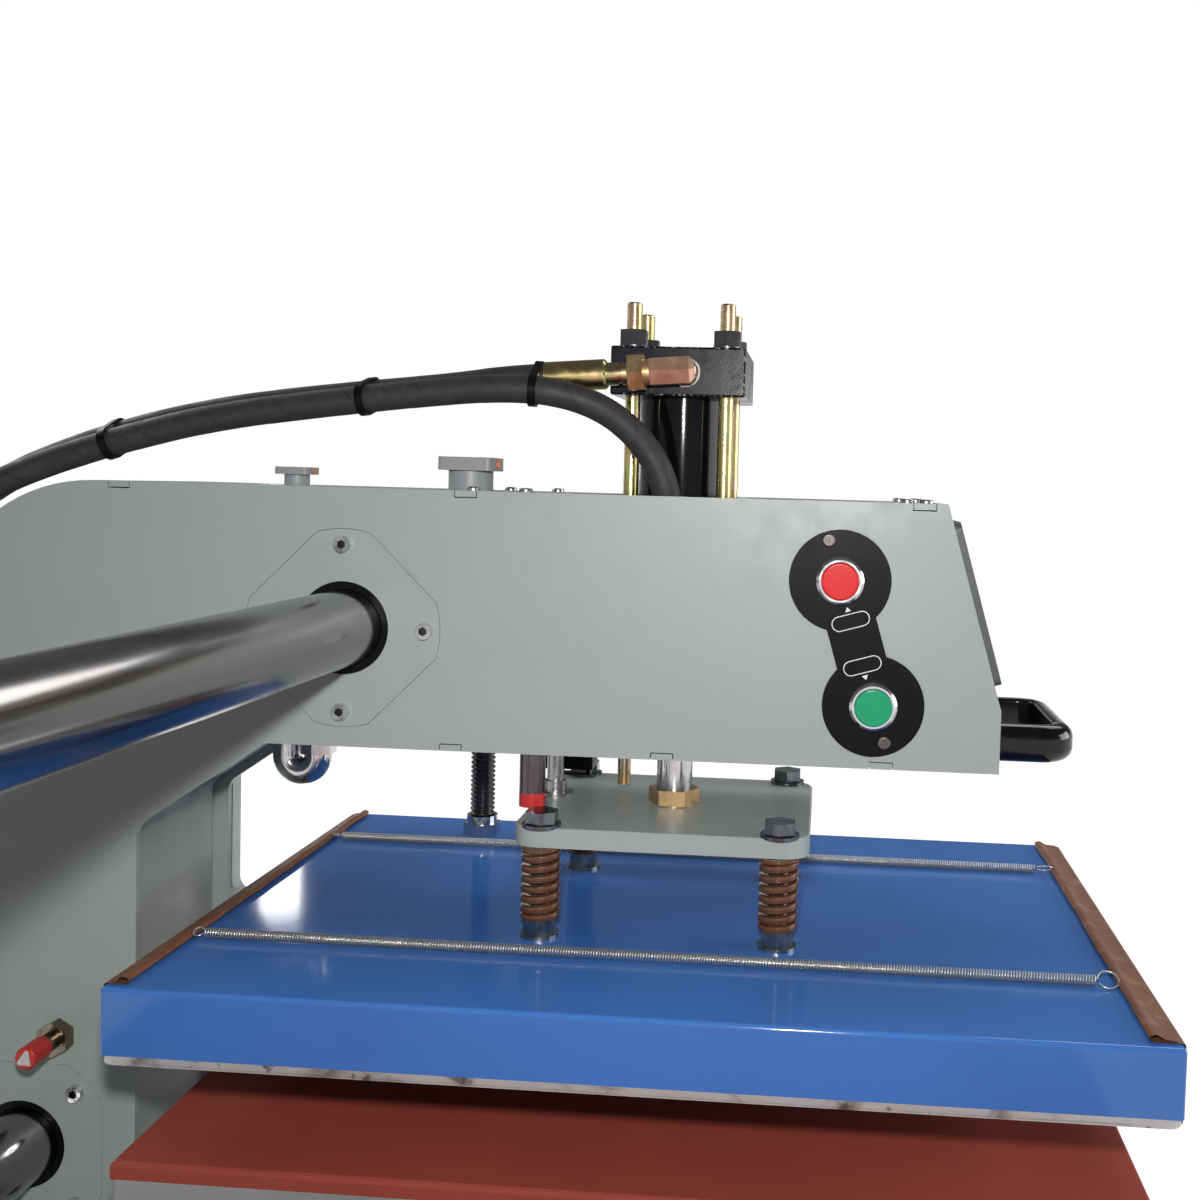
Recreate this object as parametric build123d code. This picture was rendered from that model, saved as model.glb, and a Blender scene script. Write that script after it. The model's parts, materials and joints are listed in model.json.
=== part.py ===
from build123d import *

from math import atan2, ceil, cos, degrees, pi, radians, sin, sqrt, tan
import os

os.makedirs("parts", exist_ok=True)

# Dual station hydraulic heat press: one press head shuttles on two guide shafts between two tables.
# Lengths are millimetres. X runs along the guide shafts, the operator stands at -Y and Z is up.
# The pieces are drawn from one working origin: the middle of the machine in X, the piston axis in Y
# and the top of the raised platen cover in Z. The head is drawn at X = 0 and then set at its station.

# Layout of the machine
STATION_X = 260
FLOOR_Z = -915
DECK_TOP = -275
BASE_MARGIN = 2
BASE_FRONT = -330
BASE_BACK = 560

# Clearances
SLIDE_FIT = 0.05
HOLE_CLEAR = 0.3
SEAM = 0.3

# Arm and column of the head
ARM_HALF = 69.3
PLATE_T = 5
COVER_T = 4
ARM_TOP = 284
ARM_BOTTOM = 114.9
ARM_FRONT_TOP = -175.7
ARM_FRONT = -213
KNEE_Z = 154.6
COLUMN_FRONT = 349.5
COLUMN_BACK = 492
COLUMN_FOOT = -250
BACK_R = 112
GUSSET_Y = 264.5
GUSSET_Z = 55.5
GUSSET_R = 12
COVER_RECESS = 12
TAB_W = 15
TAB_GAP = 0.7
TOP_TABS = (363, 132, -161)
BOTTOM_TABS = (139, 1, -139)
TOP_SCREWS = (132, 97, -151, -163)
TOP_SCREW_X = 51
PLUGS = ((-30, 139.5, 14.8, 22), (-30, 259.5, 8.3, 12.4))
PLUG_FLARE = 3.2
PLUG_TIP = 1.6

# Guide shafts, their bearings and the end frames
SHAFT_R = 25
UPPER_SHAFT = (211.8, 192.6)
LOWER_SHAFT = (428.6, -165)
BEARINGS = ((UPPER_SHAFT, 45), (LOWER_SHAFT, 0))
BUSH_R = 40
BUSH_LENGTH = 100
HOUSING_R = 60
HOUSING_PLATE_HALF = 64
HOUSING_PLATE_T = 8
FLANGE_R = 64.5
FLANGE_FLAT = 56.5
FLANGE_BORE_R = 30.4
FLANGE_SCREW_R = 54.5
WIPER_T = 4
END_FRAME_T = 16
END_CLEAR = 10
END_COLUMN_FRONT = 414
END_FOOT_FRONT = 374
END_COLUMN_BACK = 510
END_SHOULDER_Z = -80
END_TOP = 262
END_BOTTOM = 122
END_NOSE = 142
END_FOOT_T = 12
END_FOOT_W = 42
STOP_ARM_W = 28
CLAMP_R = 50
CLAMP_T = 25

# Shock absorbers, one on each side of the head
BUMPER_POS = (402, -88)
BUMPER_REACH = 38
BUMPER_TRAVEL = 7.5
BUMPER_CAP_T = 10.5
BUMPER_CAP_R = 7.3
STOP_GAP = 0.7
BUMPER_BODY_R = 6
BUMPER_SKIRT_T = 0.8
BUMPER_NUT_AF = 20
BUMPER_NUT_T = 10
BUMPER_ROD_R = 3

# Hydraulic cylinder
BLOCK_HALF = 44.3
BLOCK_T = 32
CAP_TOP = 381.4
MOUNT_T = 15
MOUNT_HALF_Y = 60
BORE_R = 25
BARREL_R = 30
ROD_R = 12.5
PISTON_T = 25
PISTON_TOP = 325
TIE_ROD_R = 5
TIE_ROD_OFFSET = 31
TIE_ROD_TOP = 411
TIE_NUT_T = 10
TIE_NUT_AF = 17
TIE_WASHER_T = 1.5
PORT_Y = -5
PORT_Z = 364.8
FITTING_DROP = 4.1

# Connecting plate, its bolts and springs
YOKE_TOP = 70.9
YOKE_T = 12.7
YOKE_HALF_X = 83
YOKE_HALF_Y = 95.4
YOKE_CORNER_R = 17
BOLT_OFFSET = 76.4
BOLT_R = 6
BOLT_HEAD_T = 8
BOLT_AF = 19
BOLT_DEPTH = 34
WASHER_R = 12.5
WASHER_T = 2
NUT_T = 10
ROD_NUT_AF = 31
ROD_NUT_T = 10
ROD_WASHER_T = 1
FLOAT_TRAVEL = 6
SPRING_R = 12.6
SPRING_WIRE = 4
SPRING_TURNS = 6.5
GUIDE_ROD_POS = (11, 86)
GUIDE_ROD_R = 6
GUIDE_ROD_TOP = 200
STOP_POST_POS = (-54, 88)
STOP_POST_R = 8.5
STOP_POST_FOOT = 78.2
STOP_TIP_T = 9
SENSOR_POS = (30, 40)
SENSOR_R = 4.7
SENSOR_FOOT = 76
SWITCH_X = (22, 46)
SWITCH_Y = (62, 98)
SWITCH_FOOT = 86

# Heated platen
PLATEN_HALF_X = 200
PLATEN_HALF_Y = 300
COVER_DEPTH = 38.4
SKIN_T = 2
PLATEN_CORNER_R = 3
LIP_CORNER_R = 9
HEAT_PLATE_T = 20
HEAT_LIP = 5
HEATER_R = 4
HEATER_PITCH = 40
HEATER_RUNS = 8
SHEET_T = 0.5
SHEET_HALF_X = 194
HEMS = ((-1, 20), (1, 15))
HEM_T = 5
COIL_R = 3.3
COIL_OFFSET_X = 115
COIL_FROM_ENDS = (32, 21)
HOOK_WIRE_R = 0.8
GLAND_POS = (155, 176)
GLAND_AF = 27
GLAND_T = 16
CONDUIT_FOOT = 8
CONDUIT_TOP = 150
CONDUIT_R = 10
CONDUIT_ROOT_R = 9
CONDUIT_BORE_R = 7.5
CONDUIT_PITCH = 5
SLEEVE_FOOT = 84
SLEEVE_CLEAR = 0.6
SLEEVE_T = 2.5
JUNCTION_X = (131, 179)
JUNCTION_Y = (115, 192)
JUNCTION_Z = (118, 161)
JUNCTION_T = 2.5
NIPPLE_POS = (128, 139)
NIPPLE_R = 9

# Lower tables
PRESS_GAP = 56
PAD_T = 10
TABLE_T = 12
TABLE_HALF_X = 200
TABLE_HALF_Y = 292.5
STAND_HALF_X = 150
STAND_HALF_Y = 210
STAND_WALL = 5

# Controls and handle
RED_POS = (-109.4, 234)
GREEN_POS = (-132.6, 155.3)
DISC_R = 32.3
LINK_W = 32
BUTTON_PLATE_T = 1.2
BEZEL_R = 15
BEZEL_T = 6
BUTTON_R = 11.8
BUTTON_PROUD = 7.5
BUTTON_TRAVEL = 3
BUTTON_SEAT = 0.5
BARREL_THREAD_R = 11
BARREL_DEPTH = 32
BUTTON_STEM_R = 6
PANEL_HALF_X = 54
PANEL_LENGTH = 108
PANEL_T = 6
SCREEN_HALF_X = 43
SCREEN_LENGTH = 62
HANDLE_HALF = 64
HANDLE_DEPTH = 50
HANDLE_BAR = 13
HANDLE_T = 24
HANDLE_TOP = 145
HANDLE_CORNER_R = 24
HANDLE_OUTER_ROUND = 9
HANDLE_INNER_ROUND = 3
SCREW_HEAD_R = 5.4
SCREW_R = 3
PAN_HEAD_R = 4.4
PAN_HEAD_T = 2.6

# Hydraulic hoses
HOSE_R = 9
FERRULE_R = 9.8
FERRULE_LENGTH = 40
HOSE_NUT_AF = 22
ELBOW_LEG = 21
ELBOW_AF = 17
COLLAR_T = 4
NUT_END = 35
NECK_END = 49
NECK_R = 7.5
LOW_REACH = 9.7
LOW_FITTING_Y = -2
BACK_A = (-20, 536)
BACK_B = (-55, 536)
MANIFOLD_Z = 10
MANIFOLD_T = 25
MANIFOLD_DEPTH = 58
TIE_T = 1.1
TIE_W = 5
TIE_CLEAR = 0.6
TIES = ((0, 5, 0.5), (3, 7, 0.6), (6, 10, 0.25))

# Chrome elbow under the arm
ELBOW_X = 50
ELBOW_Y = 286
ELBOW_R = 10
ELBOW_BEND = 12
ELBOW_Z = 82

# Base cabinet
FOOT_HEIGHT = 45
FOOT_R = 32
TRAY_T = 6
DECK_T = 8
POST_W = 50
POST_WALL = 3
PANEL_SHEET = 2
LOUVRES = 8
LOUVRE_PITCH = 18
LOUVRE_T = 7
LOUVRE_FOOT = 90
LOUVRE_LENGTH = 180
LOUVRE_FROM_BACK = 70

# Power parts on the cabinet's tray, placed from the cabinet's right and back sides
TANK_SIZE = (360, 260, 240)
TANK_FROM_RIGHT = 420
TANK_FROM_BACK = 150
TANK_CORNER_R = 12
FILLER_R = 20
MOTOR_R = 72
MOTOR_LENGTH = 190
MOTOR_FROM_SIDE = 110
FLANGE_LENGTH = 40
MOTOR_FINS = 16
TERMINAL_REACH = 38
TERMINAL_HALF = 30
TERMINAL_FOOT = 60
TERMINAL_H = 50
VALVE_OFFSET = 160
VALVE_HALF = 35
VALVE_H = 60
COIL_BLOCK_H = 40
SOLENOID_R = 18
SOLENOID_LENGTH = 65
BOX_SIZE = (220, 280, 360)
BOX_FROM_RIGHT = 120
BOX_FROM_BACK = 160

# Derived places
INNER = ARM_HALF - PLATE_T
SLOPE = atan2(ARM_FRONT_TOP - ARM_FRONT, ARM_TOP - KNEE_Z)
BUMPER_TIP = ARM_HALF + BUMPER_REACH
STOP_FACE = STATION_X + BUMPER_TIP + STOP_GAP
COIL_ENDS = (COIL_FROM_ENDS[0] - PLATEN_HALF_Y, PLATEN_HALF_Y - COIL_FROM_ENDS[1])
END_INNER = STATION_X + PLATEN_HALF_X + END_CLEAR
END_OUTER = END_INNER + END_FRAME_T
BASE_HALF_X = END_OUTER + END_FOOT_W + BASE_MARGIN
SHAFT_END = END_OUTER + CLAMP_T + 3
CAP_BOTTOM = CAP_TOP - BLOCK_T
COVER_FLOOR = ARM_BOTTOM + COVER_T
BLOCK_BOTTOM = COVER_FLOOR + MOUNT_T
BLOCK_TOP = BLOCK_BOTTOM + BLOCK_T
LOW_PORT_Z = BLOCK_BOTTOM + BLOCK_T / 2
LOW_FITTING_X = -BLOCK_HALF - LOW_REACH
FITTING_X = -BLOCK_HALF - HOSE_NUT_AF / sqrt(3) - 0.6
FITTING = Pos(FITTING_X, PORT_Y, PORT_Z) * Rot(X=-FITTING_DROP)
YOKE_BOTTOM = YOKE_TOP - YOKE_T
PLATEN_BOTTOM = -COVER_DEPTH - HEAT_LIP
HEAT_PLATE_TOP = PLATEN_BOTTOM + HEAT_PLATE_T
PAD_TOP = PLATEN_BOTTOM - PRESS_GAP
TABLE_TOP = PAD_TOP - PAD_T
STAND_TOP = TABLE_TOP - TABLE_T
TRAY_BOTTOM = FLOOR_Z + FOOT_HEIGHT
TRAY_TOP = TRAY_BOTTOM + TRAY_T
DECK_BOTTOM = DECK_TOP - DECK_T

HEAD = Pos(STATION_X, 0, 0)
ROW = Pos(0, -(BASE_FRONT + BASE_BACK) / 2, -FLOOR_Z)


def save(node, shapes, at=Pos(0, 0, 0)):
    """Write one node; every shape given is one or more separate solids."""
    solids = [solid for shape in shapes for solid in shape.solids()]
    placed = [ROW * at * solid for solid in solids]
    export_step(placed[0] if len(placed) == 1 else Compound(placed), f"parts/{node}.step")


def block(x0, x1, y0, y1, z0, z1):
    return Pos((x0 + x1) / 2, (y0 + y1) / 2, (z0 + z1) / 2) * Box(x1 - x0, y1 - y0, z1 - z0)


def rod(x, y, z0, z1, radius):
    return Pos(x, y, (z0 + z1) / 2) * Cylinder(radius, z1 - z0)


def rod_x(x0, x1, y, z, radius):
    return Pos((x0 + x1) / 2, y, z) * Rot(Y=90) * Cylinder(radius, abs(x1 - x0))


def rod_y(y0, y1, x, z, radius):
    return Pos(x, (y0 + y1) / 2, z) * Rot(X=90) * Cylinder(radius, abs(y1 - y0))


def hexagon(x, y, z0, z1, across, turn=0):
    return extrude(Pos(x, y, z0) * Rot(Z=turn) * RegularPolygon(across / 2, 6, major_radius=False), z1 - z0)


def hexagon_x(x0, x1, y, z, across):
    return extrude(Pos(x0, y, z) * Rot(Y=90) * RegularPolygon(across / 2, 6, major_radius=False), x1 - x0)


def hexagon_y(y0, y1, x, z, across):
    nut = extrude(RegularPolygon(across / 2, 6, major_radius=False), y1 - y0)
    return Pos(x, y0, z) * Rot(X=-90) * nut


def outline(corners, place=lambda a, b: Vector(0, a, b)):
    """Closed face through corners given as (a, b) or (a, b, radius)."""
    points = [Vector(c[0], c[1], 0) for c in corners]
    radii = [c[2] if len(c) > 2 else 0 for c in corners]
    starts = []
    ends = []
    wire = []
    for i, (point, radius) in enumerate(zip(points, radii)):
        back = (points[i - 1] - point).normalized()
        on = (points[(i + 1) % len(points)] - point).normalized()
        half = radians(back.get_angle(on)) / 2
        reach = radius / tan(half)
        starts.append(point + back * reach)
        ends.append(point + on * reach)
        if radius:
            middle = point + (back + on).normalized() * (radius / sin(half) - radius)
            arc = [place(v.X, v.Y) for v in (starts[i], middle, ends[i])]
            wire.append(ThreePointArc(*arc))
    for i, end in enumerate(ends):
        following = starts[(i + 1) % len(points)]
        if (following - end).length > 1e-6:
            wire.append(Line(place(end.X, end.Y), place(following.X, following.Y)))
    return Face(Wire(wire))


def profile(corners, x0, x1):
    """Solid between x0 and x1 whose outline runs in Y and Z."""
    return Pos(x0, 0, 0) * extrude(outline(corners), amount=x1 - x0, dir=(1, 0, 0))


def plan(corners, z0, z1):
    """Solid between z0 and z1 whose outline runs in X and Y."""
    flat = outline(corners, lambda a, b: Vector(a, b, z0))
    return extrude(flat, amount=z1 - z0, dir=(0, 0, 1))


def rounded_plate(half_x, half_y, radius, z0, z1):
    corners = [(sx * half_x, sy * half_y, radius) for sx, sy in ((-1, -1), (1, -1), (1, 1), (-1, 1))]
    return plan(corners, z0, z1)


def mirrored(shape):
    return mirror(shape, about=Plane.YZ)


def slot_x(y, z, reach, radius):
    """Round cutter along X that passes through everything within reach of the middle."""
    return rod_x(-reach, reach, y, z, radius)


def at_bolts():
    return [(sx * BOLT_OFFSET, sy * BOLT_OFFSET) for sx in (-1, 1) for sy in (-1, 1)]


def at_tie_rods():
    return [(sx * TIE_ROD_OFFSET, sy * TIE_ROD_OFFSET) for sx in (-1, 1) for sy in (-1, 1)]


def flange_blank(centre, turn, radius, flat, x0, x1):
    """Round bearing flange with four flats, the first one turned from the vertical."""
    y, z = centre
    disc = rod_x(x0, x1, y, z, radius)
    square = Pos((x0 + x1) / 2, y, z) * Rot(X=turn) * Box(x1 - x0, 2 * flat, 2 * flat)
    return disc & square


def flange_screws(centre, turn):
    """Places of the four screws of one flange, at the round stretches between its flats."""
    y, z = centre
    angles = [radians(turn + 45 + 90 * k) for k in range(4)]
    return [(y + FLANGE_SCREW_R * cos(a), z + FLANGE_SCREW_R * sin(a)) for a in angles]


# Head: plates and covers

def side_plate():
    """Left side plate: arm and column in one C-shaped sheet with tab notches and bearing windows."""
    corners = [
        (ARM_FRONT, ARM_BOTTOM),
        (GUSSET_Y, ARM_BOTTOM, GUSSET_R),
        (COLUMN_FRONT, GUSSET_Z, GUSSET_R),
        (COLUMN_FRONT, COLUMN_FOOT),
        (COLUMN_BACK, COLUMN_FOOT),
        (COLUMN_BACK, ARM_TOP, BACK_R),
        (ARM_FRONT_TOP, ARM_TOP),
        (ARM_FRONT, KNEE_Z),
    ]
    plate = profile(corners, -ARM_HALF, -INNER)
    for centre, turn in BEARINGS:
        plate -= flange_blank(centre, turn, FLANGE_R + HOLE_CLEAR, FLANGE_FLAT + HOLE_CLEAR,
                              -ARM_HALF - 1, -INNER + 1)
    notches = [(y, ARM_TOP - COVER_T - TAB_GAP, ARM_TOP + 1) for y in TOP_TABS]
    notches += [(y, ARM_BOTTOM - 1, COVER_FLOOR + TAB_GAP) for y in BOTTOM_TABS]
    for y, z0, z1 in notches:
        plate -= block(-ARM_HALF - 1, -INNER + 1, y - TAB_W / 2, y + TAB_W / 2, z0, z1)
    plate -= rod_x(-ARM_HALF - 1, -INNER + 1, *BUMPER_POS, BUMPER_BODY_R + SLIDE_FIT)
    return plate


def tabs(places, z0, z1):
    """Tabs of a cover that fill the notches of both side plates."""
    half = TAB_W / 2 - TAB_GAP
    left = [block(-ARM_HALF, -INNER, y - half, y + half, z0, z1) for y in places]
    return left + [mirrored(tab) for tab in left]


def side_plates():
    left = side_plate()
    for y, z in (RED_POS, GREEN_POS):
        left -= rod_x(-ARM_HALF - 1, -INNER + 1, y, z, BARREL_THREAD_R + HOLE_CLEAR)
    right = mirrored(side_plate()) - rod_x(INNER - 1, ARM_HALF + 1, *NIPPLE_POS, NIPPLE_R - 2)
    save("side_plate_left", [left], HEAD)
    save("side_plate_right", [right], HEAD)


def upper_cover():
    """One bent sheet: top of the arm, round the back corner and down the back of the column."""
    front = ARM_FRONT_TOP + COVER_T / cos(SLOPE) + SEAM
    corners = [
        (front, ARM_TOP),
        (COLUMN_BACK, ARM_TOP, BACK_R),
        (COLUMN_BACK, COLUMN_FOOT),
        (COLUMN_BACK - COVER_T, COLUMN_FOOT),
        (COLUMN_BACK - COVER_T, ARM_TOP - COVER_T, BACK_R - COVER_T),
        (front, ARM_TOP - COVER_T),
    ]
    cover = profile(corners, -INNER, INNER)
    window = BLOCK_HALF + 2
    cover -= block(-ARM_HALF, window, -window, window, ARM_TOP - COVER_T - 1, ARM_TOP + 1)
    for tab in tabs(TOP_TABS, ARM_TOP - COVER_T, ARM_TOP):
        cover += tab
    for x, y, radius, height in PLUGS:
        cover -= rod(x, y, ARM_TOP - COVER_T - 1, ARM_TOP + 1, radius * 0.6 + HOLE_CLEAR)
    return cover


def lower_cover():
    """One bent sheet: bottom of the arm, along the gusset and down the front of the column."""
    front = ARM_FRONT + COVER_T + SEAM
    face = COLUMN_FRONT + COVER_RECESS
    bend = GUSSET_Y + COVER_RECESS
    slant = atan2(ARM_BOTTOM - GUSSET_Z, COLUMN_FRONT - GUSSET_Y)
    inside = GUSSET_R + COVER_T
    corners = [
        (front, ARM_BOTTOM),
        (bend, ARM_BOTTOM, GUSSET_R),
        (face, GUSSET_Z, GUSSET_R),
        (face, COLUMN_FOOT),
        (face + COVER_T, COLUMN_FOOT),
        (face + COVER_T, GUSSET_Z + COVER_T * tan((pi / 2 - slant) / 2), inside),
        (bend + COVER_T * tan(slant / 2), COVER_FLOOR, inside),
        (front, COVER_FLOOR),
    ]
    cover = profile(corners, -INNER, INNER)
    for tab in tabs(BOTTOM_TABS, ARM_BOTTOM, COVER_FLOOR):
        cover += tab
    holes = [
        (0, 0, ROD_R + 6),
        (*GUIDE_ROD_POS, GUIDE_ROD_R + 1),
        (*STOP_POST_POS, STOP_POST_R + HOLE_CLEAR),
        (*SENSOR_POS, SENSOR_R + HOLE_CLEAR),
    ]
    for x, y, size in holes:
        cover -= rod(x, y, ARM_BOTTOM - 1, COVER_FLOOR + 1, size)
    return cover - elbow_pipe(ELBOW_R + HOLE_CLEAR)


def front_cover():
    """Bent sheet that closes the front of the arm: sloped above the knee, upright below it."""
    shift = COVER_T / cos(SLOPE)
    knee_drop = (shift - COVER_T) / tan(SLOPE)
    corners = [
        (ARM_FRONT, ARM_BOTTOM),
        (ARM_FRONT, KNEE_Z),
        (ARM_FRONT_TOP, ARM_TOP),
        (ARM_FRONT_TOP + shift, ARM_TOP),
        (ARM_FRONT + COVER_T, KNEE_Z - knee_drop),
        (ARM_FRONT + COVER_T, ARM_BOTTOM),
    ]
    return profile(corners, -INNER, INNER)


def plugs():
    """Grey terminal plugs on top of the arm: round body under a square flared head."""
    shapes = []
    for x, y, radius, height in PLUGS:
        stem = rod(x, y, ARM_TOP - COVER_T - 10, ARM_TOP, radius * 0.6)
        body = rod(x, y, ARM_TOP, ARM_TOP + height * 0.6, radius)
        half = radius + PLUG_FLARE
        head = Pos(x, y, 0) * rounded_plate(half, half, 3, ARM_TOP + height * 0.6, ARM_TOP + height)
        tip_z = ARM_TOP + height * 0.8
        shapes.append(stem + body + head)
        shapes.append(rod_y(y - half - PLUG_TIP, y - half, x, tip_z, height * 0.14))
    return shapes


# Head: bearings

def bearing_housing(centre):
    """Tube between the side plates with a welded plate at each end, clear of the covers."""
    y, z = centre
    tube = rod_x(-INNER, INNER, y, z, HOUSING_R)
    ends = [block(-INNER, -INNER + HOUSING_PLATE_T, y - HOUSING_PLATE_HALF, y + HOUSING_PLATE_HALF,
                  z - HOUSING_PLATE_HALF, z + HOUSING_PLATE_HALF)]
    ends.append(mirrored(ends[0]))
    housing = tube + ends[0] + ends[1]
    back = COLUMN_BACK - COVER_T - SEAM
    front = COLUMN_FRONT + COVER_RECESS + COVER_T + SEAM if z < 0 else y - 2 * HOUSING_R
    housing &= block(-INNER, INNER, front, back, z - 2 * HOUSING_R, z + 2 * HOUSING_R)
    return housing - slot_x(y, z, INNER + 1, BUSH_R + SLIDE_FIT)


def bearing_parts():
    housings = []
    bushes = []
    flanges = []
    screws = []
    wipers = []
    for centre, turn in BEARINGS:
        housing = bearing_housing(centre)
        bush = rod_x(-BUSH_LENGTH / 2, BUSH_LENGTH / 2, *centre, BUSH_R)
        bush -= slot_x(*centre, BUSH_LENGTH, SHAFT_R + SLIDE_FIT)
        bushes.append(bush)
        blank = flange_blank(centre, turn, FLANGE_R, FLANGE_FLAT, -ARM_HALF, -INNER)
        blank -= rod_x(-ARM_HALF - 1, -INNER + 1, *centre, FLANGE_BORE_R)
        wiper = rod_x(-INNER - WIPER_T, -INNER, *centre, FLANGE_BORE_R - SLIDE_FIT)
        wiper -= rod_x(-ARM_HALF, -INNER + 1, *centre, SHAFT_R + HOLE_CLEAR)
        for y, z in flange_screws(centre, turn):
            blank -= rod_x(-ARM_HALF - 1, -INNER + 1, y, z, SCREW_R + HOLE_CLEAR)
            housing -= slot_x(y, z, INNER + 1, SCREW_R + SLIDE_FIT)
            screw = socket_screw(-ARM_HALF, y, z, PLATE_T + 14)
            screws += [screw, mirrored(screw)]
        housings.append(housing)
        flanges += [blank, mirrored(blank)]
        wipers += [wiper, mirrored(wiper)]
    save("bearing_housings", housings, HEAD)
    save("bearing_flanges", flanges, HEAD)
    save("shaft_wipers", wipers, HEAD)
    x, y = GUIDE_ROD_POS
    guide_bush = rod(x, y, COVER_FLOOR, COVER_FLOOR + 32, 10)
    guide_bush -= rod(x, y, ARM_BOTTOM, ARM_TOP, GUIDE_ROD_R + SLIDE_FIT)
    save("linear_bushes", bushes + [guide_bush], HEAD)
    return screws


def socket_screw(face_x, y, z, length):
    """Socket head screw along X with its head on the outer face at -X."""
    head_t = 2 * SCREW_R * 0.75
    head = rod_x(face_x - head_t, face_x, y, z, SCREW_HEAD_R)
    shank = rod_x(face_x, face_x + length, y, z, SCREW_R)
    socket = hexagon_x(face_x - head_t - 1, face_x - head_t + 3, y, z, SCREW_R * 1.7)
    return head + shank - socket


def cross_recess(at):
    """Cross-shaped driver recess that opens towards +Z at the given place."""
    return [at * Box(4.4, 0.9, 2.4), at * Box(0.9, 4.4, 2.4)]


def cover_screws():
    """Domed cross-head screws of the button plate and of the top cover."""
    shapes = []
    for (y, z), (dy, dz) in ((RED_POS, (7.7, 25.4)), (GREEN_POS, (-7.7, -23))):
        face = -ARM_HALF - BUTTON_PLATE_T
        head = rod_x(face - PAN_HEAD_T, face, y + dy, z + dz, PAN_HEAD_R)
        head = fillet(head.edges().filter_by(GeomType.CIRCLE).sort_by(Axis.X)[0], 1.2)
        shapes.append(head - cross_recess(Pos(face - PAN_HEAD_T, y + dy, z + dz) * Rot(Y=-90)))
    for y in TOP_SCREWS:
        for side in (-1, 1):
            head = rod(side * TOP_SCREW_X, y, ARM_TOP, ARM_TOP + PAN_HEAD_T, PAN_HEAD_R)
            head = fillet(head.edges().filter_by(GeomType.CIRCLE).sort_by(Axis.Z)[-1], 1.2)
            shapes.append(head - cross_recess(Pos(side * TOP_SCREW_X, y, ARM_TOP + PAN_HEAD_T)))
    return shapes


# Head: shock absorbers

def shock_absorber():
    """Threaded body through the left side plate, with a lock nut on each side of it."""
    y, z = BUMPER_POS
    tip = -BUMPER_TIP + BUMPER_CAP_T + BUMPER_TRAVEL + SEAM
    body = rod_x(tip, -INNER + 24, y, z, BUMPER_BODY_R)
    body -= rod_x(tip - 1, tip + 24, y, z, BUMPER_ROD_R + SLIDE_FIT)
    outer_nut = hexagon_x(-ARM_HALF - BUMPER_NUT_T, -ARM_HALF, y, z, BUMPER_NUT_AF)
    inner_nut = hexagon_x(-INNER, -INNER + BUMPER_NUT_T, y, z, BUMPER_NUT_AF)
    bore = rod_x(-ARM_HALF - 20, 0, y, z, BUMPER_BODY_R + SLIDE_FIT)
    return [body, outer_nut - bore, inner_nut - bore]


def bumper_cap():
    """Red cap on its plunger rod, drawn pushed out, with a skirt that slides over the body."""
    y, z = BUMPER_POS
    crown = -BUMPER_TIP + BUMPER_CAP_T
    cap = rod_x(-BUMPER_TIP, crown + BUMPER_TRAVEL, y, z, BUMPER_CAP_R)
    cap -= rod_x(crown, crown + BUMPER_TRAVEL + 1, y, z, BUMPER_CAP_R - BUMPER_SKIRT_T)
    cap = fillet(cap.edges().filter_by(GeomType.CIRCLE).sort_by(Axis.X)[0], 1.5)
    return cap + rod_x(-BUMPER_TIP + BUMPER_CAP_T, -BUMPER_TIP + BUMPER_CAP_T + 18, y, z, BUMPER_ROD_R)


# Head: hydraulic cylinder

def cylinder_parts():
    mount = block(-INNER, INNER, -MOUNT_HALF_Y, MOUNT_HALF_Y, COVER_FLOOR, BLOCK_BOTTOM)
    mount -= rod(0, 0, COVER_FLOOR - 1, BLOCK_BOTTOM + 1, ROD_R + 3)
    mount -= rod(*SENSOR_POS, COVER_FLOOR - 1, BLOCK_BOTTOM + 1, SENSOR_R + SLIDE_FIT)
    base = block(-BLOCK_HALF, BLOCK_HALF, -BLOCK_HALF, BLOCK_HALF, BLOCK_BOTTOM, BLOCK_TOP)
    base -= rod(0, 0, BLOCK_BOTTOM - 1, BLOCK_TOP + 1, ROD_R + SLIDE_FIT)
    cap = block(-BLOCK_HALF, BLOCK_HALF, -BLOCK_HALF, BLOCK_HALF, CAP_BOTTOM, CAP_TOP)
    cap = fillet(cap.edges(), 1.5)
    barrel = rod(0, 0, BLOCK_TOP, CAP_BOTTOM, BARREL_R) - rod(0, 0, BLOCK_TOP, CAP_BOTTOM, BORE_R)
    rods = []
    nuts = []
    for x, y in at_tie_rods():
        bar = rod(x, y, BLOCK_BOTTOM + 8, TIE_ROD_TOP, TIE_ROD_R)
        rods.append(chamfer(bar.edges().sort_by(Axis.Z)[-1], 1))
        base -= rod(x, y, BLOCK_BOTTOM + 8, BLOCK_TOP + 1, TIE_ROD_R + SLIDE_FIT)
        cap -= rod(x, y, CAP_BOTTOM - 1, CAP_TOP + 1, TIE_ROD_R + SLIDE_FIT)
        hole = rod(x, y, CAP_TOP - 1, TIE_ROD_TOP, TIE_ROD_R + SLIDE_FIT)
        nut_foot = CAP_TOP + TIE_WASHER_T
        washer = rod(x, y, CAP_TOP, nut_foot, TIE_NUT_AF / 2 + 1)
        nut = hexagon(x, y, nut_foot, nut_foot + TIE_NUT_T, TIE_NUT_AF)
        nuts += [washer - hole, nut - hole]
    save("cylinder_mount", [mount], HEAD)
    save("cylinder_base", [base], HEAD)
    save("cylinder_barrel", [barrel], HEAD)
    save("cylinder_cap", [cap], HEAD)
    save("tie_rods", rods + nuts, HEAD)


# Head: hoses and their fittings

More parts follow.
